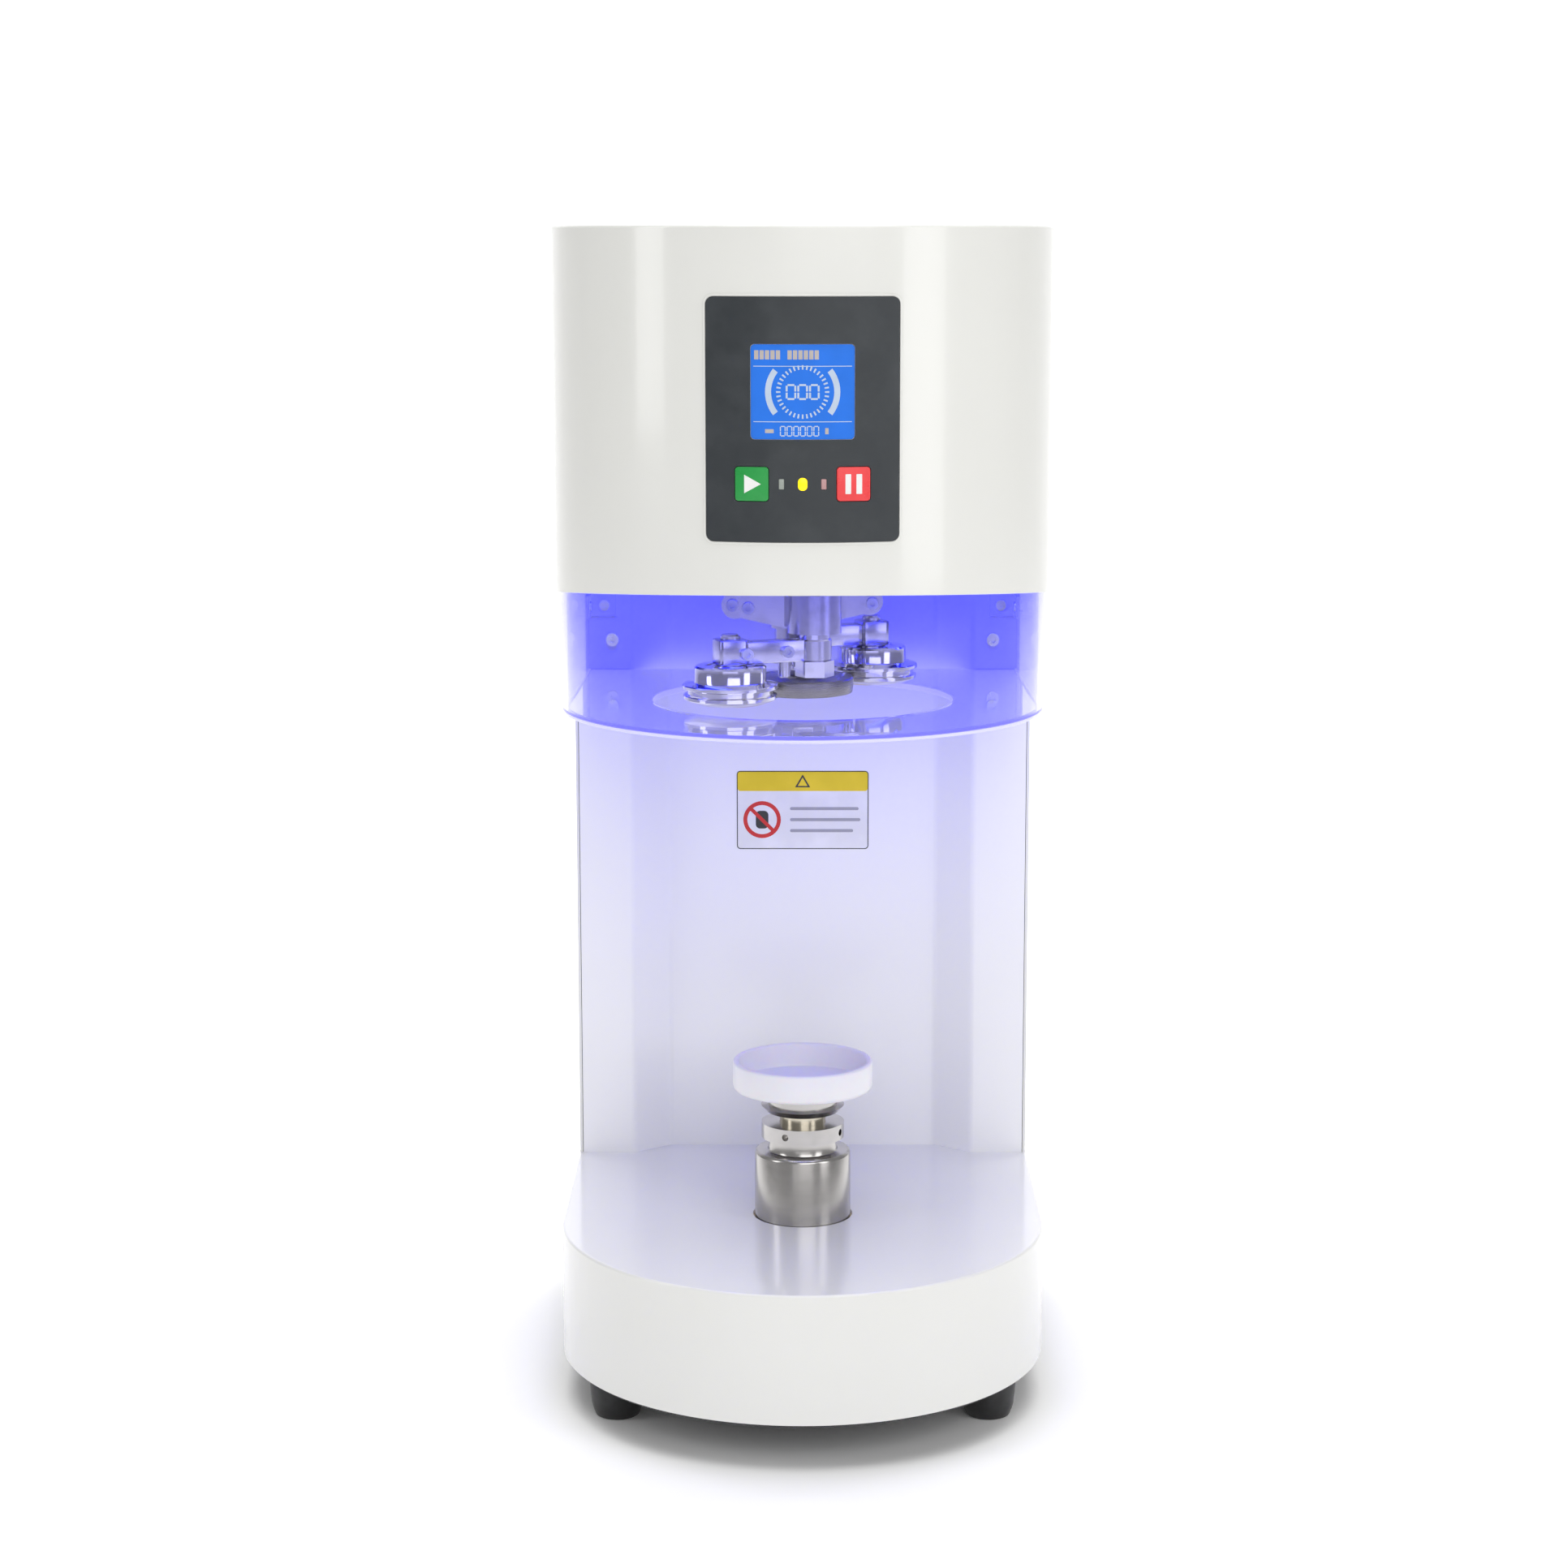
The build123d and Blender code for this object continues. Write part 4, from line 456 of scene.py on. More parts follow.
class Finishes:
    """The finishes of this machine, each built once."""

    def __init__(self, guard_low: float, guard_high: float) -> None:
        """Name every finish.

        Args:
            guard_low: Height where the guard's painted blue light has faded.
            guard_high: Height where the guard's painted blue light is full.
        """
        self._made: dict[str, bpy.types.Material] = {}
        self.enamel = Enamel("warm_white_enamel", (0.77, 0.77, 0.735))
        # Painted light: the same white enamel as the head and base, made brighter to make up for the shade in the
        # column's recess under the head.
        self.column = Enamel("column_brightened_enamel", (0.88, 0.88, 0.89), gloss=0.24)
        # Painted shade: near-black enamel whose edge under the base stands in for the shadowed gap there.
        self.dark = Enamel("dark_enamel", (0.02, 0.02, 0.022), gloss=0.4)
        self.rubber = Moulded("foot_rubber", (0.012, 0.012, 0.013), gloss=0.6, grain=1400.0, sheen=0.2)
        self.zinc = Plating("bright_zinc", (0.84, 0.85, 0.88))
        self.milled = Plating("milled_aluminium", (0.72, 0.72, 0.74), gloss=0.3, grain=(0.2, 1.0, 1.0))
        self.polished = TurnedMetal("polished_steel", (0.90, 0.89, 0.88), gloss=0.11, marks=3200.0)
        self.satin = TurnedMetal("satin_steel", (0.78, 0.77, 0.76), gloss=0.22)
        self.steel = TurnedMetal("cylinder_steel", (0.50, 0.485, 0.475), gloss=0.2)
        self.dark_steel = TurnedMetal("hardened_steel", (0.27, 0.26, 0.25), gloss=0.27)
        self.spring = TurnedMetal("spring_wire", (0.35, 0.35, 0.37), gloss=0.3, marks=900.0)
        self.brass = TurnedMetal("turned_brass", (0.60, 0.49, 0.31), gloss=0.25, stain=(0.8, 0.72, 0.6))
        self.motor = Enamel("motor_can", (0.03, 0.03, 0.035), gloss=0.35)
        self.belt = Moulded("belt_rubber", (0.015, 0.015, 0.015), gloss=0.7)
        # The guard's acrylic carries painted blue light and shade: its colour darkens and turns blue towards the
        # strip.
        self.acrylic = ClearAcrylic("guard_acrylic", guard_low, guard_high)
        # The edge pieces glow with painted blue light: emission stands in for the strip's light caught in the acrylic
        # edges.
        self.acrylic_edge = ClearAcrylic("guard_acrylic_edge", guard_low, guard_high, (0.72, 0.72, 0.92), glow=0.34,
                                         clear=0.3)
        self.floor_acrylic = ClearAcrylic("guard_floor_acrylic", guard_low, guard_high, (0.80, 0.80, 0.98))
        self.panel = Moulded("panel_film", (0.024, 0.029, 0.034), gloss=0.42, grain=3000.0, depth=0.00001)
        self.display = Lit("display_blue", (0.015, 0.13, 0.56), 0.55, 0.16)
        self.mark = Lit("display_mark", (0.42, 0.50, 0.62), 0.35)
        self.amber = Lit("display_amber", (0.42, 0.38, 0.36), 0.3)
        self.nickel = TurnedMetal("nickel_plate", (0.66, 0.61, 0.50), gloss=0.2)
        self.board = Moulded("circuit_board", (0.012, 0.11, 0.045), gloss=0.3)
        self.tray = TranslucentDish("white_nylon", (0.86, 0.86, 0.89))
        self.black = Moulded("black_plastic", (0.016, 0.016, 0.017), gloss=0.45)
        self.green = self.smooth("green_key", (0.015, 0.30, 0.055), 0.3)
        self.red = self.smooth("red_key", (0.80, 0.05, 0.055), 0.3)
        self.ink = self.smooth("white_ink", (0.80, 0.80, 0.78), 0.45)
        self.ink_dark = self.smooth("black_ink", (0.03, 0.03, 0.03), 0.45)
        self.ink_grey = self.smooth("grey_ink", (0.36, 0.36, 0.38), 0.45)
        self.ink_yellow = self.smooth("yellow_ink", (0.80, 0.60, 0.01), 0.4)
        self.ink_red = self.smooth("red_ink", (0.62, 0.02, 0.02), 0.4)
        self.blue = Lit("blue_light", (0.06, 0.08, 1.0), 9.0)
        self.yellow = Lit("yellow_lamp", (0.95, 0.72, 0.0), 1.1)
        self.grey_lamp = Moulded("grey_lamp", (0.30, 0.33, 0.30), gloss=0.25)
        self.pink_lamp = Moulded("pink_lamp", (0.48, 0.27, 0.27), gloss=0.25)

    @staticmethod
    def smooth(name: str, colour: Point, gloss: float) -> Moulded:
        """A key's or an ink's smooth plastic.

        Args:
            name: The material's name.
            colour: Linear red, green and blue.
            gloss: Roughness.

        Returns:
            The finish.
        """
        return Moulded(name, colour, gloss, grain=2600.0, depth=0.00001)

    def __call__(self, finish: Finish) -> bpy.types.Material:
        """Give a finish's material, building it the first time.

        Args:
            finish: One of this class's finishes.

        Returns:
            The material.
        """
        if finish.name not in self._made:
            self._made[finish.name] = finish.material()
        return self._made[finish.name]


# ---- shaping, in millimetres ----


def cad(node: str) -> tuple[Vector, Vector]:
    """Box of a CAD node.

    Args:
        node: The node's name.

    Returns:
        Its lower and upper corners, in millimetres.
    """
    low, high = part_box(node)
    return low / MM, high / MM


def settle(bm: Mesh, gap: float = 1e-3) -> Mesh:
    """Merge doubles and turn the faces outwards.

    Args:
        bm: The shape.
        gap: Distance under which points are merged.

    Returns:
        The same shape.
    """
    bmesh.ops.remove_doubles(bm, verts=bm.verts, dist=gap)
    bmesh.ops.recalc_face_normals(bm, faces=bm.faces)
    return bm


def raised(bm: Mesh, rise: Point) -> Mesh:
    """Extrude a flat shape and close it.

    Args:
        bm: The flat shape.
        rise: Direction and height.

    Returns:
        The same shape, now closed.
    """
    geom = bmesh.ops.extrude_face_region(bm, geom=list(bm.faces), use_keep_orig=True)["geom"]
    tops = [item for item in geom if isinstance(item, bmesh.types.BMVert)]
    bmesh.ops.translate(bm, verts=tops, vec=rise)
    return settle(bm)


def slab(corners: Sequence[Point], rise: Point) -> Mesh:
    """Raise one flat outline.

    Args:
        corners: Its corners, in order.
        rise: Direction and height.

    Returns:
        The closed slab.
    """
    bm = bmesh.new()
    bm.faces.new([bm.verts.new(corner) for corner in corners])
    return raised(bm, rise)


def turned(profile: Sequence[Pair], centre: Pair = (0.0, 0.0), steps: int = 96) -> Mesh:
    """Spin an outline of (radius, height) points about an upright axis.

    Args:
        profile: The outline, in order; points on the axis close the ends.
        centre: The axis in plan.
        steps: Faces round the axis.

    Returns:
        The closed shape.
    """
    bm = bmesh.new()
    verts = [bm.verts.new((centre[0] + radius, centre[1], height)) for radius, height in profile]
    edges = [bm.edges.new(pair) for pair in zip(verts, verts[1:])]
    bmesh.ops.spin(bm, geom=verts + edges, cent=(*centre, 0.0), axis=(0.0, 0.0, 1.0), angle=FULL_TURN, steps=steps,
                   use_merge=True)
    return settle(bm)


def prism(outline: Sequence[Pair], low: float, high: float) -> Mesh:
    """Raise a plan outline into an upright prism.

    Args:
        outline: Corners in plan, in order.
        low: Lower height.
        high: Upper height.

    Returns:
        The closed prism.
    """
    return slab([(x, y, low) for x, y in outline], (0.0, 0.0, high - low))


def soften(bm: Mesh, width: float, segments: int = 2, over: float = 30.0,
           keep: Callable[[Edge], bool] = lambda edge: True) -> Mesh:
    """Round the sharp edges.

    Args:
        bm: The shape.
        width: Bevel width.
        segments: Faces across a bevel.
        over: Only edges that turn more than this, in degrees.
        keep: Which of those edges to take.

    Returns:
        The same shape.
    """
    limit = math.radians(over)
    edges = [e for e in bm.edges if len(e.link_faces) == 2 and e.calc_face_angle(0.0) > limit and keep(e)]
    bmesh.ops.bevel(bm, geom=edges, offset=width, offset_type="OFFSET", segments=segments, profile=0.5,
                    affect="EDGES", clamp_overlap=True, material=-1)
    return bm


def arc(centre: Pair, radius: float, start: float, end: float, count: int) -> list[Pair]:
    """Points on a circle.

    Args:
        centre: Its middle.
        radius: Its radius.
        start: First angle, in degrees.
        end: Last angle, in degrees.
        count: Number of points.

    Returns:
        The points in order.
    """
    turns = [math.radians(start + (end - start) * i / (count - 1)) for i in range(count)]
    return [(centre[0] + radius * math.cos(t), centre[1] + radius * math.sin(t)) for t in turns]


def rounded(width: float, height: float, corner: float, centre: Pair = (0.0, 0.0)) -> list[Pair]:
    """Outline of a rectangle with round corners.

    Args:
        width: Size along the first axis.
        height: Size along the second axis.
        corner: Radius of the corners.
        centre: Its middle.

    Returns:
        The corners in order.
    """
    x, y = width / 2.0 - corner, height / 2.0 - corner
    outline = []
    for place, start in (((x, y), 0.0), ((-x, y), 90.0), ((-x, -y), 180.0), ((x, -y), 270.0)):
        outline += arc((centre[0] + place[0], centre[1] + place[1]), corner, start, start + 90.0, 7)
    return outline


def loop(bm: Mesh, outline: Sequence[Point]) -> list[Edge]:
    """Add a closed line of edges.

    Args:
        bm: The shape to add to.
        outline: Its corners, in order.

    Returns:
        The edges.
    """
    verts = [bm.verts.new(point) for point in outline]
    return [bm.edges.new(pair) for pair in zip(verts, verts[1:] + verts[:1])]


def plate(outer: Sequence[Point], inner: Sequence[Point], rise: Point) -> Mesh:
    """Raise the area between two outlines.

    Args:
        outer: Outer outline.
        inner: Outline of the hole in it.
        rise: Direction and height of the plate.

    Returns:
        The closed plate.
    """
    bm = bmesh.new()
    edges = loop(bm, outer) + loop(bm, inner)
    bmesh.ops.triangle_fill(bm, use_beauty=True, use_dissolve=False, edges=edges)
    return raised(bm, rise)


def stack(*rings: Pair) -> list[Pair]:
    """Close a turned outline onto its axis at both ends.

    Args:
        rings: The outline's points of radius and height, in order.

    Returns:
        The closed outline.
    """
    return [(0.0, rings[0][1]), *rings, (0.0, rings[-1][1])]


@dataclass(frozen=True)
class RoundFront:
    """The round front of the head, onto which flat shapes are laid."""

    arc_y: float
    step: float = 3.0

    def lay(self, bm: Mesh) -> Mesh:
        """Bend a shape onto the front.

        Args:
            bm: The shape; its y is read as the distance from the front's axis.

        Returns:
            The same shape.
        """
        xs = [vert.co.x for vert in bm.verts]
        for index in range(math.ceil(min(xs) / self.step), math.floor(max(xs) / self.step) + 1):
            geom = bm.verts[:] + bm.edges[:] + bm.faces[:]
            bmesh.ops.bisect_plane(bm, geom=geom, dist=1e-4, plane_co=(index * self.step, 0.0, 0.0),
                                   plane_no=(1.0, 0.0, 0.0))
        for vert in bm.verts:
            vert.co.y = self.arc_y - math.sqrt(vert.co.y ** 2 - vert.co.x ** 2)
        bmesh.ops.recalc_face_normals(bm, faces=bm.faces)
        return bm

    def mark(self, outline: Sequence[Pair], near: float, far: float) -> Mesh:
        """Flat mark, ready to be laid.

        Args:
            outline: Its corners across and up.
            near: Distance of its back from the front's axis.
            far: Distance of its face from the front's axis.

        Returns:
            The closed mark.
        """
        return slab([(x, near, z) for x, z in outline], (0.0, far - near, 0.0))

    def turned_to(self, bm: Mesh, angle: float, z: float) -> Mesh:
        """Carry a shape round the front's axis and up.

        Args:
            bm: The shape, built in front of the axis.
            angle: The turn, in degrees.
            z: The height.

        Returns:
            The same shape.
        """
        turn = Matrix.Translation((0.0, self.arc_y, z)) @ Matrix.Rotation(math.radians(angle), 4, "Z")
        bmesh.ops.transform(bm, matrix=turn, verts=bm.verts)
        return bm


def merged(*shapes: Mesh) -> Mesh:
    """Put several shapes into the first one.

    Args:
        shapes: The shapes; all but the first are freed.

    Returns:
        The first shape.
    """
    first = shapes[0]
    for other in shapes[1:]:
        spare = bpy.data.meshes.new("spare")
        other.to_mesh(spare)
        first.from_mesh(spare)
        bpy.data.meshes.remove(spare)
        other.free()
    return first


def placed(name: str, data: bpy.types.ID) -> bpy.types.Object:
    """Put a mesh, a light or a camera into the scene.

    Args:
        name: The object's name.
        data: What it shows.

    Returns:
        The new object.
    """
    item = bpy.data.objects.new(name, data)
    bpy.context.scene.collection.objects.link(item)
    return item


@dataclass
class SubAssembly:
    """What every sub-assembly of the machine shares: adding its pieces to the scene."""

    finishes: Finishes

    def add(self, bm: Mesh, name: str, body: Body, slot: Slot, finish: Finish,
            stands_for: Iterable[str] = (), crease: float = 32.0) -> bpy.types.Object:
        """Make a shape a finished piece of the machine.

        Args:
            bm: The shape, in place; it is freed.
            name: The piece's name.
            body: The body it rides on.
            slot: The record's material slot; not used.
            finish: Its finish.
            stands_for: CAD nodes that it replaces.
            crease: Edges sharper than this stay crisp, in degrees.

        Returns:
            The new object.
        """
        bmesh.ops.scale(bm, vec=(MM, MM, MM), verts=bm.verts)
        mesh = bpy.data.meshes.new(name)
        bm.to_mesh(mesh)
        bm.free()
        mesh.shade_smooth()
        mesh.set_sharp_from_angle(angle=math.radians(crease))
        piece = placed(name, mesh)
        mesh.materials.append(self.finishes(finish))
        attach(piece, body.value)
        nodes = list(stands_for)
        if nodes:
            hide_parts(*nodes)
        LOG.info("%s rides on %s", name, body.value)
        return piece

    def dress(self, finish: Finish, *nodes: str) -> None:
        """Give CAD nodes that stay in view their finish.

        Args:
            finish: The finish.
            nodes: The nodes' names.
        """
        for node in nodes:
            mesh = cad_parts[node].data
            mesh.materials.clear()
            mesh.materials.append(self.finishes(finish))
            LOG.info("%s wears %s", node, finish.name)


# ---- stand and covers ----


@dataclass
class Stand(SubAssembly):
    """Base, feet, column and rear covers."""

    fold: float = 2.2
    flange: float = 29.0
    bevel: float = 19.5
    recess: float = 16.0
    sheet: float = 1.5

    def build(self) -> None:
        """Build and dress the stand."""
        kit = self.finishes
        self.dress(kit.enamel, "base_shell", "column_rear_cover")
        # The bottom plate's near-black edge under the shell is painted shade for the gap there.
        self.dress(kit.dark, "base_bottom_plate")
        self.dress(kit.zinc, "column_posts", "cover_screws", "power_supply")
        self.dress(kit.black, "power_inlet", "power_rocker")
        self.dress(kit.board, "driver_board")
        self.column_panel()
        self.feet()

    def column_panel(self) -> None:
        """Fold the column's front panel out of one sheet."""
        low, high = cad("column_front_panel")
        front = [(low.x, low.y), (low.x + self.flange, low.y),
                 (low.x + self.flange + self.bevel, low.y + self.recess)]
        front += [(-x, y) for x, y in reversed(front)]
        back = [(x, y + self.sheet) for x, y in reversed(front)]
        bm = prism(front + back, low.z, high.z)
        soften(bm, self.fold, 5, 20.0, lambda edge: abs(edge.verts[0].co.z - edge.verts[1].co.z) > 1.0
               and abs(edge.verts[0].co.x) < -low.x - 1.0)
        # The panel wears the brightened copy of the white enamel: painted light against the shade under the head.
        self.add(bm, "column_panel", Body.FRAME, Slot.ENAMEL, self.finishes.column, ["column_front_panel"])

    def feet(self) -> None:
        """Turn four rubber feet with a flared collar and a hollow for the screw."""
        low, high = cad("rubber_feet")
        top_r, toe_r = 14.0, 11.5
        outline = [(0.0, 7.0), (3.6, 7.0), (3.6, 0.0), (10.0, 0.0), (11.0, 0.4), (toe_r, 1.3), (12.7, 4.6),
                   (13.1, 6.4), (13.8, 13.0), (top_r, 16.0), (top_r, 22.5), (0.0, 22.5)]
        feet = [turned(outline, (x, y), 48) for x in (low.x + top_r, high.x - top_r)
                for y in (low.y + top_r, high.y - top_r)]
        self.add(merged(*feet), "feet_moulded", Body.FRAME, Slot.RUBBER, self.finishes.rubber, ["rubber_feet"])


@dataclass
class SafetyLabel(SubAssembly):
    """Plain pictogram label on the column's recessed panel, without lettering."""

    width: float = 73.0
    height: float = 44.0
    centre_z: float = 281.7
    header: float = 10.8
    film: float = 0.12
    ink: float = 0.06
    sheet: float = 1.5

    def build(self) -> None:
        """Lay the label's film and its printed areas."""
        self.face = cad("column_front_panel")[1].y - self.sheet
        kit, z = self.finishes, self.centre_z
        middle = z + self.height / 2.0 - 0.5 - self.header / 2.0
        sign = (-22.5, z - self.header / 2.0)
        slash = [(-6.6, 5.2), (-5.2, 6.6), (6.6, -5.2), (5.2, -6.6)]
        wide, tall = self.width - 1.0, self.height - 1.0
        self.area(rounded(self.width, self.height, 2.0, (0.0, z)), "label_border", kit.ink_dark, 0)
        self.area(rounded(wide, tall, 1.6, (0.0, z)), "label_film", kit.ink, 1)
        self.area(rounded(wide, self.header, 1.5, (0.0, middle)), "label_band", kit.ink_yellow, 2)
        for name, half, foot, tip, ink, layer in (("label_triangle", 4.2, 3.3, 3.9, kit.ink_dark, 3),
                                                  ("label_triangle_fill", 2.7, 2.5, 2.2, kit.ink_yellow, 4)):
            self.area([(-half, middle - foot), (half, middle - foot), (0.0, middle + tip)], name, ink, layer)
        self.area(arc(sign, 10.4, 0.0, 351.0, 40), "label_ring", kit.ink_red, 2)
        self.area(arc(sign, 8.2, 0.0, 350.0, 36), "label_ring_field", kit.ink, 3)
        self.area(rounded(7.0, 10.0, 2.4, sign), "label_sign", kit.ink_dark, 4)
        self.area([(sign[0] + x, sign[1] + up) for x, up in slash], "label_slash", kit.ink_red, 5)
        for row, reach in enumerate((38.0, 39.0, 35.0)):
            at = (-7.0 + reach / 2.0, sign[1] + 6.2 - 6.2 * row)
            self.area(rounded(reach, 1.7, 0.8, at), f"label_bar_{row}", kit.ink_grey, 2)

    def area(self, outline: Sequence[Pair], name: str, finish: Finish, layer: int) -> None:
        """Lay one printed area.

        Args:
            outline: Its corners across and up.
            name: The piece's name.
            finish: Its ink.
            layer: How many inks lie under it.
        """
        near = self.face - layer * self.ink
        bm = slab([(x, near, z) for x, z in outline], (0.0, -self.film, 0.0))
        self.add(bm, name, Body.FRAME, Slot.PANEL, finish)


@dataclass
class Head(SubAssembly):
    """Head cover, deck and drive."""

    def build(self) -> None:
        """Dress the head."""
        kit = self.finishes
        self.dress(kit.enamel, "head_cover")
        self.dress(kit.milled, "head_deck", "spindle_housing", "head_bridge", "turret_pulley", "drive_pulleys")
        self.dress(kit.blue, "led_strip")
        self.dress(kit.motor, "head_motor")
        self.dress(kit.belt, "timing_belts")
        self.dress(kit.polished, "spindle_bearings")
        self.dress(kit.board, "control_board")


@dataclass
class Controls(SubAssembly):
    """Control panel with its display, keys and lamps."""

    front: RoundFront
    radius: float = 125.0
    window: Pair = (48.1, 43.6)
    key_angle: float = 10.85
    key_size: float = 15.8

    def build(self) -> None:
        """Build and dress the panel."""
        self.dress(self.finishes.panel, "control_overlay")
        self.border()
        self.display()
        low, high = cad("start_key")
        self.key_z = (low.z + high.z) / 2.0
        triangle = [(-3.5, -4.3), (4.4, 0.0), (-3.5, 4.3)]
        bars = [rounded(2.7, 9.2, 0.3, (x, 0.0)) for x in (-2.6, 2.6)]
        self.key("start", -self.key_angle, Body.START, Slot.GREEN, self.finishes.green, [triangle])
        self.key("stop", self.key_angle, Body.STOP, Slot.RED, self.finishes.red, bars)
        self.lamps()

    def border(self) -> None:
        """Raise the pale edge round the panel film."""
        low, high = cad("control_overlay")
        middle = (low.z + high.z) / 2.0
        width, height = high.x - low.x, high.z - low.z
        near, far = self.radius + AIR, self.radius + 0.5
        outer = [(x, near, z) for x, z in rounded(width + 2.6, height + 2.6, 4.8, (0.0, middle))]
        inner = [(x, near, z) for x, z in rounded(width + 0.3, height + 0.3, 3.7, (0.0, middle))]
        bm = self.front.lay(soften(plate(outer, inner, (0.0, far - near, 0.0)), 0.15, 1, SHARP))
        self.add(bm, "panel_border", Body.FRAME, Slot.ENAMEL, self.finishes.enamel)

    def display(self) -> None:
        """Set the lit display into its window, with plain dial graphics."""
        low, high = cad("display_window")
        self.display_z = (low.z + high.z) / 2.0
        glass = self.radius + 0.35
        outline = rounded(*self.window, 2.0, (0.0, self.display_z))
        bm = self.front.lay(self.front.mark(outline, self.radius + AIR, glass))
        self.add(bm, "display_screen", Body.FRAME, Slot.DISPLAY, self.finishes.display, ["display_window"])
        marks = (-21.4, -18.9, -16.4, -13.9, -11.4, -6.0, -3.5, -1.0, 1.5, 4.0, 6.5)
        self.graphics("display_header", self.finishes.amber, [rounded(2.0, 4.2, 0.2, (x, 17.0)) for x in marks])
        lines = [rounded(45.6, 0.35, 0.1, (0.0, z)) for z in (11.8, -13.7)]
        for centre in (0.0, 180.0):
            lines.append(self.band(17.4, 14.6, centre, 38.0, 13))
        self.graphics("display_arcs", self.finishes.mark, lines)
        self.graphics("display_ticks", self.finishes.mark, [
            self.band(10.3, 12.3, index * 10.0, 1.9, 2) for index in range(36)])
        digits = []
        for x in (-5.4, 0.0, 5.4):
            digits += self.digit((x, 0.0), 4.0, 6.4, 0.9)
        for index in range(6):
            digits += self.digit((-9.2 + 3.1 * index, -18.0), 2.2, 4.4, 0.5)
        self.graphics("display_digits", self.finishes.mark, digits)
        self.graphics("display_units", self.finishes.amber, [rounded(4.0, 1.8, 0.2, (-15.4, -18.0)),
                                                            rounded(1.6, 2.8, 0.2, (11.2, -18.0))])

    @staticmethod
    def band(outer: float, inner: float, middle: float, reach: float, count: int) -> list[Pair]:
        """Part of a ring.

        Args:
            outer: Radius where the outline starts.
            inner: Radius where it returns.
            middle: Angle of its middle, in degrees.
            reach: Angle to each side.
            count: Points on each arc.

        Returns:
            The outline.
        """
        return (arc((0.0, 0.0), outer, middle - reach, middle + reach, count)
                + list(reversed(arc((0.0, 0.0), inner, middle - reach, middle + reach, count))))

    def digit(self, centre: Pair, width: float, height: float, stroke: float) -> list[list[Pair]]:
        """Segments of a zero.

        Args:
            centre: Its middle.
            width: Its width.
            height: Its height.
            stroke: Width of a segment.

        Returns:
            One outline for each segment.
        """
        x, z = width / 2.0, height / 2.0
        segments = [((width - stroke, stroke), (0.0, side * z)) for side in (-1, 1)]
        segments += [((stroke, height / 2.0 - stroke * 0.6), (side * x, end * z / 2.0))
                     for side in (-1, 1) for end in (-1, 1)]
        return [rounded(*size, 0.08, (centre[0] + at[0], centre[1] + at[1])) for size, at in segments]

    def graphics(self, name: str, finish: Finish, outlines: list[list[Pair]]) -> None:
        """Lay display marks.

        Args:
            name: The piece's name.
            finish: Their finish.
            outlines: One outline for each mark, about the display's middle.
        """
        near, far = self.radius + 0.3, self.radius + 0.42
        marks = [self.front.mark([(x, z + self.display_z) for x, z in outline], near, far) for outline in outlines]
        self.add(self.front.lay(merged(*marks)), name, Body.FRAME, Slot.DISPLAY, finish)

    def key(self, name: str, angle: float, body: Body, slot: Slot, finish: Finish,
            symbol: list[list[Pair]]) -> None:
        """Build one key with its printed symbol.

        Args:
            name: The key's name.
            angle: Its turn round the front's axis, in degrees.
            body: The body it rides on.
            slot: The record's material slot.
            finish: Its finish.
            symbol: Outlines of the symbol about the key's middle.
        """
        face, foot = self.radius + 1.05, self.radius - 4.0
        cap = self.facing(rounded(self.key_size, self.key_size, 1.6), foot, face)
        soften(cap, 0.45, 3, SHARP, lambda edge: min(v.co.y for v in edge.verts) < -face + TOUCH
               and max(v.co.y for v in edge.verts) < -face + TOUCH)
        self.add(self.front.turned_to(cap, angle, self.key_z), f"{name}_keycap", body, slot, finish, [f"{name}_key"])
        marks = merged(*[self.facing(outline, face - 0.05, face + 0.05) for outline in symbol])
        self.add(self.front.turned_to(marks, angle, self.key_z), f"{name}_symbol", body, slot, self.finishes.ink)

    @staticmethod
    def facing(outline: Sequence[Pair], near: float, far: float) -> Mesh:
        """Flat slab in front of the axis.

        Args:
            outline: Its corners across and up.
            near: Distance of its back from the axis.
            far: Distance of its face from the axis.

        Returns:
            The closed slab.
        """
        return slab([(x, -near, z) for x, z in outline], (0.0, near - far, 0.0))

    def lamps(self) -> None:
        """Build the three lamp lenses, the middle one lit."""
        side = math.degrees(9.8 / self.radius)
        for name, angle, size, corner, finish in (
                ("lamp_left", -side, (2.6, 5.0), 0.5, self.finishes.grey_lamp),
                ("lamp_middle", 0.0, (4.4, 6.0), 1.95, self.finishes.yellow),
                ("lamp_right", side, (2.6, 5.0), 0.5, self.finishes.pink_lamp)):
            face = self.radius + 0.78
            lens = self.facing(rounded(*size, corner), self.radius - 3.5, face)
            soften(lens, 0.35, 3, SHARP, lambda edge: max(v.co.y for v in edge.verts) < -face + TOUCH)
            self.add(self.front.turned_to(lens, angle, self.key_z), name, Body.FRAME, Slot.LAMP, finish,
                     ["indicator_lights"])


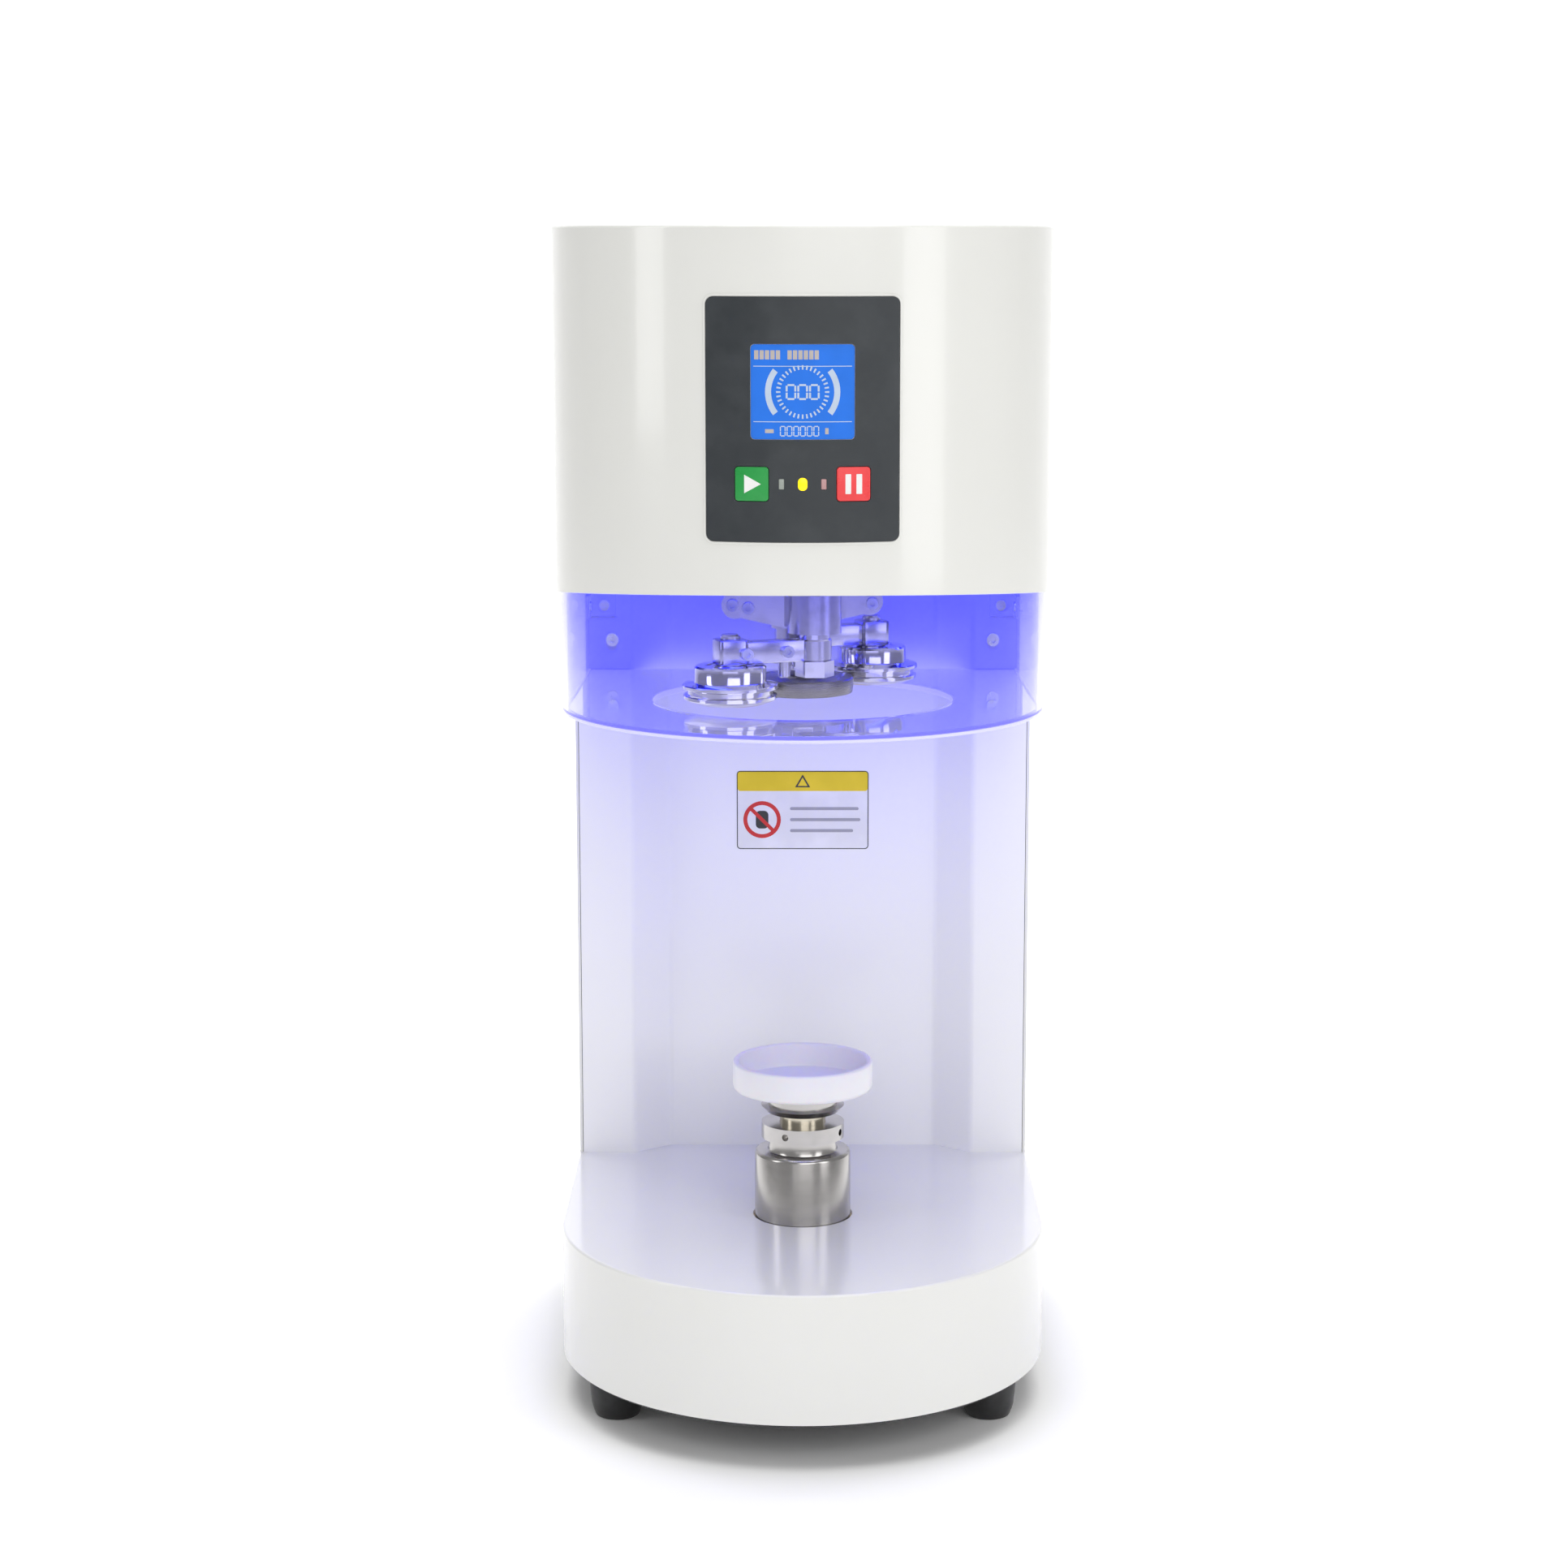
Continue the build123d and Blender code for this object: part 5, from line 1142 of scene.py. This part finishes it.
@dataclass
class Guard(SubAssembly):
    """Clear guard with its floor, brackets and screws."""

    arc_y: float
    wall: float = 3.0
    rim: float = 1.6
    joint: float = 0.9
    hole_r: float = 76.5

    def build(self) -> None:
        """Build and dress the guard."""
        low, high = cad("guard_wall")
        self.back = high.y
        self.outer_r = high.x
        self.inner_r = self.outer_r - self.wall
        wall = (self.outer_r, self.inner_r)
        self.skirt("guard_shell", wall, low.z + self.rim, high.z, self.finishes.acrylic)
        # The rim and the joint glow with painted blue light.
        self.skirt("guard_rim", wall, low.z, low.z + self.rim, self.finishes.acrylic_edge, 0.5)
        joint = (self.inner_r - AIR, self.inner_r - self.joint)
        self.skirt("guard_joint", joint, low.z, low.z + self.wall, self.finishes.acrylic_edge, 0.0, "guard_floor")
        self.floor(low.z)
        # The brackets wear the brightened column enamel: painted light.
        self.dress(self.finishes.column, "guard_brackets")
        self.dress(self.finishes.zinc, "guard_screws")

    def half_round(self, radius: float) -> list[Pair]:
        """Outline of the guard, from its left back corner to its right one.

        Args:
            radius: Radius of its round part.

        Returns:
            The points in order.
        """
        return [(-radius, self.back), *arc((0.0, self.arc_y), radius, 180.0, 360.0, 73), (radius, self.back)]

    def skirt(self, name: str, radii: Pair, low: float, high: float, finish: Finish, ease: float = 0.0,
              node: str = "guard_wall") -> None:
        """Build a band that follows the guard's outline.

        Args:
            name: The piece's name.
            radii: Its outer and inner radius.
            low: Lower height.
            high: Upper height.
            finish: Its finish.
            ease: Rounding of its lower edges.
            node: The CAD node it stands for.
        """
        outline = self.half_round(radii[0]) + list(reversed(self.half_round(radii[1])))
        bm = prism(outline, low, high)
        if ease:
            soften(bm, ease, 3, SHARP, lambda edge: max(v.co.z for v in edge.verts) < low + TOUCH)
        self.add(bm, name, Body.FRAME, Slot.ACRYLIC, finish, [node])

    def floor(self, low: float) -> None:
        """Build the floor plate and the edge of its hole, which glows with painted blue light.

        Args:
            low: Height of its lower face.
        """
        cup_y = sum(corner.y for corner in cad("lift_cylinder")) / 2.0
        edge = self.inner_r - self.joint - AIR
        outer = [(x, y, low) for x, y in self.half_round(edge)]
        hole = arc((0.0, cup_y), self.hole_r + 0.8, 0.0, 357.0, 120)
        bm = plate(outer, [(x, y, low) for x, y in hole], (0.0, 0.0, self.wall))
        self.add(bm, "guard_floor_plate", Body.FRAME, Slot.ACRYLIC, self.finishes.floor_acrylic, ["guard_floor"])
        r = self.hole_r
        outline = [(r + 0.8, low), (r + 0.3, low), (r, low + 0.3), (r, low + self.wall - 0.3),
                   (r + 0.3, low + self.wall), (r + 0.8, low + self.wall), (r + 0.8, low)]
        self.add(turned(outline, (0.0, cup_y), 120), "guard_hole_edge", Body.FRAME, Slot.ACRYLIC,
                 self.finishes.acrylic_edge, ["guard_floor"])


@dataclass
class SeamingHead(SubAssembly):
    """Chuck, turret, arms and rollers."""

    def build(self) -> None:
        """Build and dress the seaming head."""
        self.chuck()
        kit = self.finishes
        self.dress(kit.polished, "centre_shaft", "turret_spindle")
        self.dress(kit.satin, "turret_crosshead", "closing_cam")
        self.dress(kit.zinc, "turret_screws")
        self.dress(kit.spring, "return_springs")
        for side, arm_body, roller_body in (("first", Body.FIRST_ARM, Body.FIRST_ROLLER),
                                            ("second", Body.SECOND_ARM, Body.SECOND_ROLLER)):
            self.roller(side, roller_body)
            self.arm(side, arm_body)
            self.dress(kit.satin, f"{side}_lever")
            self.dress(kit.polished, f"{side}_arm_shaft", f"{side}_follower")
            self.dress(kit.zinc, f"{side}_arm_screws")

    @staticmethod
    def middle(node: str) -> Pair:
        """Middle of a CAD node in plan.

        Args:
            node: The node's name.

        Returns:
            Its x and y.
        """
        low, high = cad(node)
        return (low.x + high.x) / 2.0, (low.y + high.y) / 2.0

    def chuck(self) -> None:
        """Turn the seaming chuck with its lip and hub."""
        low, high = cad("seaming_chuck")
        z, r = low.z, high.x
        outline = [(0.0, z + 1.2), (r - 6.0, z + 1.2), (r - 4.8, z), (r - 1.0, z), (r - 0.55, z + 0.3), (r, z + 4.0),
                   (r, z + 7.4), (r - 0.6, z + 8.0), (13.0, z + 8.0), (12.2, z + 8.4), (11.6, z + 9.2), (7.6, z + 9.2),
                   (7.6, high.z - 0.4), (7.2, high.z), (5.0, high.z), (5.0, z + 4.0), (0.0, z + 4.0)]
        self.add(turned(outline, self.middle("seaming_chuck")), "chuck_turned", Body.FRAME, Slot.DARK_STEEL,
                 self.finishes.dark_steel, ["seaming_chuck"])
        nut = prism(arc(self.middle("seaming_chuck"), 10.4, 0.0, 300.0, 6), z + 9.3, z + 17.8)
        soften(nut, 0.7, 2, SHARP)
        self.add(nut, "chuck_nut", Body.FRAME, Slot.DARK_STEEL, self.finishes.polished)

    def roller(self, side: str, body: Body) -> None:
        """Turn one grooved roller with its bearing face.

        Args:
            side: Which roller, first or second.
            body: The body it rides on.
        """
        low, high = cad(f"{side}_roller")
        z, top = low.z, high.z
        waist = z + 4.5
        outline = [(0.0, z), (17.2, z), (18.0, z + 0.3), (23.0, z + 2.2), (23.4, z + 2.6), (23.4, z + 4.2),
                   (23.1, waist), (21.8, waist), (21.4, waist + 0.4), (21.4, z + 7.1), (21.8, z + 7.5),
                   (23.6, z + 7.5), (24.0, z + 7.9), (24.0, z + 9.3), (23.6, z + 9.75), (19.2, z + 10.5),
                   (18.3, z + 10.8), (18.0, z + 11.4), (18.0, top - 0.9), (17.1, top), (12.6, top), (12.4, top - 0.5),
                   (8.6, top - 0.5), (8.4, top), (5.05, top), (5.05, z + 5.0), (0.0, z + 5.0)]
        self.add(turned(outline, self.middle(f"{side}_roller")), f"{side}_roller_turned", body, Slot.POLISHED,
                 self.finishes.polished, [f"{side}_roller"])

    def arm(self, side: str, body: Body) -> None:
        """Build one arm: pivot boss, web, clamp block, roller pin and stop pin.

        Args:
            side: Which arm, first or second.
            body: The body it rides on.
        """
        top = cad(f"{side}_arm")[1].z - 4.0
        foot = top - 11.0
        pivot, axle = Vector(self.middle(f"{side}_arm_shaft")), Vector(self.middle(f"{side}_roller"))
        run = (axle - pivot).normalized()
        across = Vector((-run.y, run.x))
        boss = turned([(6.0, foot), (7.8, foot), (8.5, foot + 0.7), (8.5, top - 0.7), (7.8, top), (6.0, top),
                       (6.0, foot)], tuple(pivot), 64)
        reach = (axle - pivot).length
        web = self.bar(pivot + run * 5.5, run, across, reach - 10.0, 4.5, foot, top)
        clamp = self.bar(axle - run * 7.6, run, across, 15.2, 7.8, foot, top + 1.5, 2.6)
        pin_low, pin_top = cad(f"{side}_arm")[0].z, top + 4.0
        pin = turned(stack((5.0, pin_low), (5.0, foot - 0.55), (7.4, foot - 0.5), (7.4, foot), (5.0, foot),
                           (5.0, pin_top - 0.9), (4.1, pin_top)), tuple(axle), 48)
        stop_at = pivot + run * reach * 0.36
        stop = turned(stack((2.6, foot - 8.0), (3.2, foot - 7.4), (3.2, foot + 0.5)), tuple(stop_at), 40)
        self.add(merged(web, boss, clamp, pin, stop), f"{side}_arm_milled", body, Slot.SATIN, self.finishes.satin,
                 [f"{side}_arm"])

    @staticmethod
    def bar(start: Vector, run: Vector, across: Vector, length: float, half: float, low: float, high: float,
            corner: float = 0.7) -> Mesh:
        """Bevelled bar along a course in plan.

        Args:
            start: Middle of its first end.
            run: Unit vector along it.
            across: Unit vector across it.
            length: Its length.
            half: Half its width.
            low: Lower height.
            high: Upper height.
            corner: Rounding of the upright edges; up to 1 they are only bevelled.

        Returns:
            The closed bar.
        """
        ends = (start, start + run * length)
        outline = [tuple(ends[0] - across * half), tuple(ends[1] - across * half), tuple(ends[1] + across * half),
                   tuple(ends[0] + across * half)]
        bm = prism(outline, low, high)
        if corner > 1.0:
            soften(bm, corner, 4, SHARP, lambda edge: abs(edge.verts[0].co.z - edge.verts[1].co.z) > 1.0)
        return soften(bm, 0.6, 2, SHARP)


@dataclass
class Lift(SubAssembly):
    """Lift cylinder, tray and lift drive."""

    def build(self) -> None:
        """Build and dress the lift."""
        self.tray()
        self.cylinder()
        kit = self.finishes
        self.dress(kit.steel, "lock_ring")
        self.dress(kit.nickel, "tray_stem")
        self.collar()
        self.dress(kit.brass, "lift_guide_bush", "lift_nut")
        self.dress(kit.polished, "lead_screw")
        self.dress(kit.milled, "lift_motor_pulley")
        self.dress(kit.zinc, "lift_bracket")
        self.dress(kit.motor, "lift_motor")

    def tray(self) -> None:
        """Turn the cup tray with its rounded rim."""
        low, high = cad("cup_tray")
        r, foot, top = high.x, low.z, high.z
        inner = r - 3.1
        outline = [(0.0, foot), (r - 2.6, foot), (r - 1.2, foot + 0.4), (r - 0.35, foot + 1.3), (r, foot + 2.6),
                   (r, top - 1.5), (r - 0.25, top - 0.7), (r - 0.8, top - 0.2), (r - 1.55, top),
                   (inner + 0.8, top - 0.2), (inner + 0.25, top - 0.7), (inner, top - 1.5), (inner, foot + 4.6),
                   (inner - 0.5, foot + 3.4),
                   (inner - 1.8, foot + 3.0), (12.0, foot + 3.0), (11.6, foot + 2.7), (0.0, foot + 2.7)]
        self.add(turned(outline, SeamingHead.middle("cup_tray"), 128), "tray_turned", Body.TRAY, Slot.TRAY,
                 self.finishes.tray, ["cup_tray"])

    def collar(self) -> None:
        """Turn the collar that the tray sits on."""
        low, _ = cad("cup_tray")
        neck, top = cad("tray_stem")[1].x + 0.05, low.z - 0.05
        outline = [(neck, top - 11.4), (neck + 0.6, top - 11.6), (neck + 1.4, top - 10.6), (neck + 3.6, top - 8.4),
                   (16.0, top - 7.6), (16.4, top - 7.0), (16.4, top - 0.3), (16.1, top), (neck, top),
                   (neck, top - 11.4)]
        self.add(turned(outline, SeamingHead.middle("cup_tray"), 96), "tray_collar", Body.TRAY, Slot.SATIN,
                 self.finishes.steel)

    def cylinder(self) -> None:
        """Turn the lift cylinder with its shoulder and neck."""
        low, high = cad("lift_cylinder")
        r, top = high.x, high.z
        shoulder = top - 7.0
        outline = [(20.0, low.z), (r, low.z), (r, shoulder - 1.6), (r - 0.35, shoulder - 0.8), (r - 1.3, shoulder),
                   (19.2, shoulder), (18.4, shoulder + 0.3), (18.0, shoulder + 1.0), (18.0, top - 0.4), (17.6, top),
                   (12.05, top), (12.05, shoulder - 10.0), (20.0, shoulder - 10.0), (20.0, low.z)]
        self.add(turned(outline, SeamingHead.middle("lift_cylinder"), 128), "cylinder_turned", Body.LIFT, Slot.SATIN,
                 self.finishes.steel, ["lift_cylinder"])


# ---- studio ----


@dataclass
class Studio:
    """Floor, light and camera."""

    arc_y: float
    distance: float = 1.632
    eye_height: float = 0.598
    pitch: float = 9.662
    lens: float = 74.53
    side_shift: float = -0.0119

    def floor(self) -> None:
        """Lay a pale floor that sweeps up into a backdrop."""
        bm = bmesh.new()
        back, rise, reach = 2.6, 1.2, 6.0
        line = [(-reach, 0.0), (back, 0.0)]
        line += [(back + rise * math.sin(t), rise * (1.0 - math.cos(t)))
                 for t in (math.radians(a) for a in range(6, 91, 6))]
        line.append((back + rise, reach))
        verts = [bm.verts.new((-reach, y, z)) for y, z in line]
        edges = [bm.edges.new(pair) for pair in zip(verts, verts[1:])]
        wide = bmesh.ops.extrude_edge_only(bm, edges=edges)["geom"]
        moved = [item for item in wide if isinstance(item, bmesh.types.BMVert)]
        bmesh.ops.translate(bm, verts=moved, vec=(2.0 * reach, 0.0, 0.0))
        mesh = bpy.data.meshes.new("studio_floor")
        bm.to_mesh(mesh)
        bm.free()
        mesh.shade_smooth()
        floor = placed("studio_floor", mesh)
        sheet = NodeSheet("studio_paper")
        sheet.set(Base_Color=(0.97, 0.97, 0.97, 1.0), Roughness=0.9)
        sheet.bump(sheet.noise(300.0, 2.0), 0.0001, 0.05)
        mesh.materials.append(sheet.material)

    @staticmethod
    def lamp(name: str, place: Point, aim: Point, size: Pair, power: float,
             colour: Point = (1.0, 1.0, 1.0)) -> None:
        """Add a soft rectangular light.

        Args:
            name: The light's name.
            place: Where it stands.
            aim: Where it points.
            size: Its width and height in metres.
            power: Watts.
            colour: Red, green and blue.
        """
        light = bpy.data.lights.new(name, "AREA")
        light.shape = "RECTANGLE"
        light.size, light.size_y = size
        light.energy = power
        light.color = colour
        item = placed(name, light)
        item.location = place
        item.rotation_euler = (Vector(aim) - Vector(place)).to_track_quat("-Z", "Y").to_euler()

    def light(self, guard_top: float) -> None:
        """Light the machine softly, with the guard's own blue light.

        Args:
            guard_top: Height of the blue strip.
        """
        world = bpy.data.worlds.new("studio_air")
        world.use_nodes = True
        sky = world.node_tree.nodes["Background"].inputs
        sky["Color"].default_value = (1.0, 1.0, 1.0, 1.0)
        sky["Strength"].default_value = 0.34
        bpy.context.scene.world = world
        middle = (0.0, 0.0, 0.3)
        self.lamp("left_strip", (-1.5, -0.585, 0.965), (-0.07, -0.13, 0.965), (0.42, 1.1), 3.8)
        self.lamp("right_strip", (1.3, -0.98, 0.92), (0.05, -0.14, 0.92), (0.57, 1.3), 5.2)
        self.lamp("front_soft", (0.5, -2.4, 1.3), middle, (1.8, 1.4), 16.5)
        self.lamp("top_soft", (0.0, -0.2, 3.6), middle, (2.6, 2.6), 74.0)
        self.lamp("backdrop_wash", (0.0, 1.0, 2.6), (0.0, 3.4, 0.8), (3.0, 1.0), 90.0)
        self.lamp("low_front", (0.0, -1.3, 0.26), (0.0, -0.02, 0.40), (1.1, 0.10), 0.25)
        blue = (0.04, 0.05, 1.0)
        for side in (-1.0, 1.0):
            name = "guard_left_blue" if side < 0.0 else "guard_right_blue"
            self.lamp(name, (side * 0.095, self.arc_y + 0.085, guard_top), (side * 0.10, self.arc_y + 0.13, 0.33),
                      (0.04, 0.03), 0.07, blue)

    def camera(self) -> None:
        """Set the camera in front of the head, looking a little down."""
        data = bpy.data.cameras.new("front_camera")
        data.lens = self.lens
        data.sensor_width = 36.0
        data.shift_x = self.side_shift
        data.dof.use_dof = False
        item = placed("front_camera", data)
        item.location = (0.0, self.arc_y - self.distance, self.eye_height)
        item.rotation_euler = (math.radians(90.0 - self.pitch), 0.0, 0.0)
        bpy.context.scene.camera = item


def main() -> None:
    """Build the machine round its frame and set up the studio."""
    logging.basicConfig(level=logging.INFO, format="%(name)s: %(message)s")
    bpy.context.scene.view_settings.view_transform = "Standard"
    guard_low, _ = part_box("guard_wall")
    base_low, base_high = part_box("base_shell")
    arc_y = base_low.y + (base_high.x - base_low.x) / 2.0
    finishes = Finishes(guard_low.z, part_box("head_deck")[0].z)
    front = RoundFront(arc_y / MM)
    studio = Studio(arc_y)
    studio.camera()
    studio.floor()
    studio.light(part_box("led_strip")[0].z - STRIP_GAP)
    for part in (Stand(finishes), SafetyLabel(finishes), Head(finishes), Controls(finishes, front),
                 Guard(finishes, front.arc_y), SeamingHead(finishes), Lift(finishes)):
        part.build()


if __name__ == "__main__":
    main()
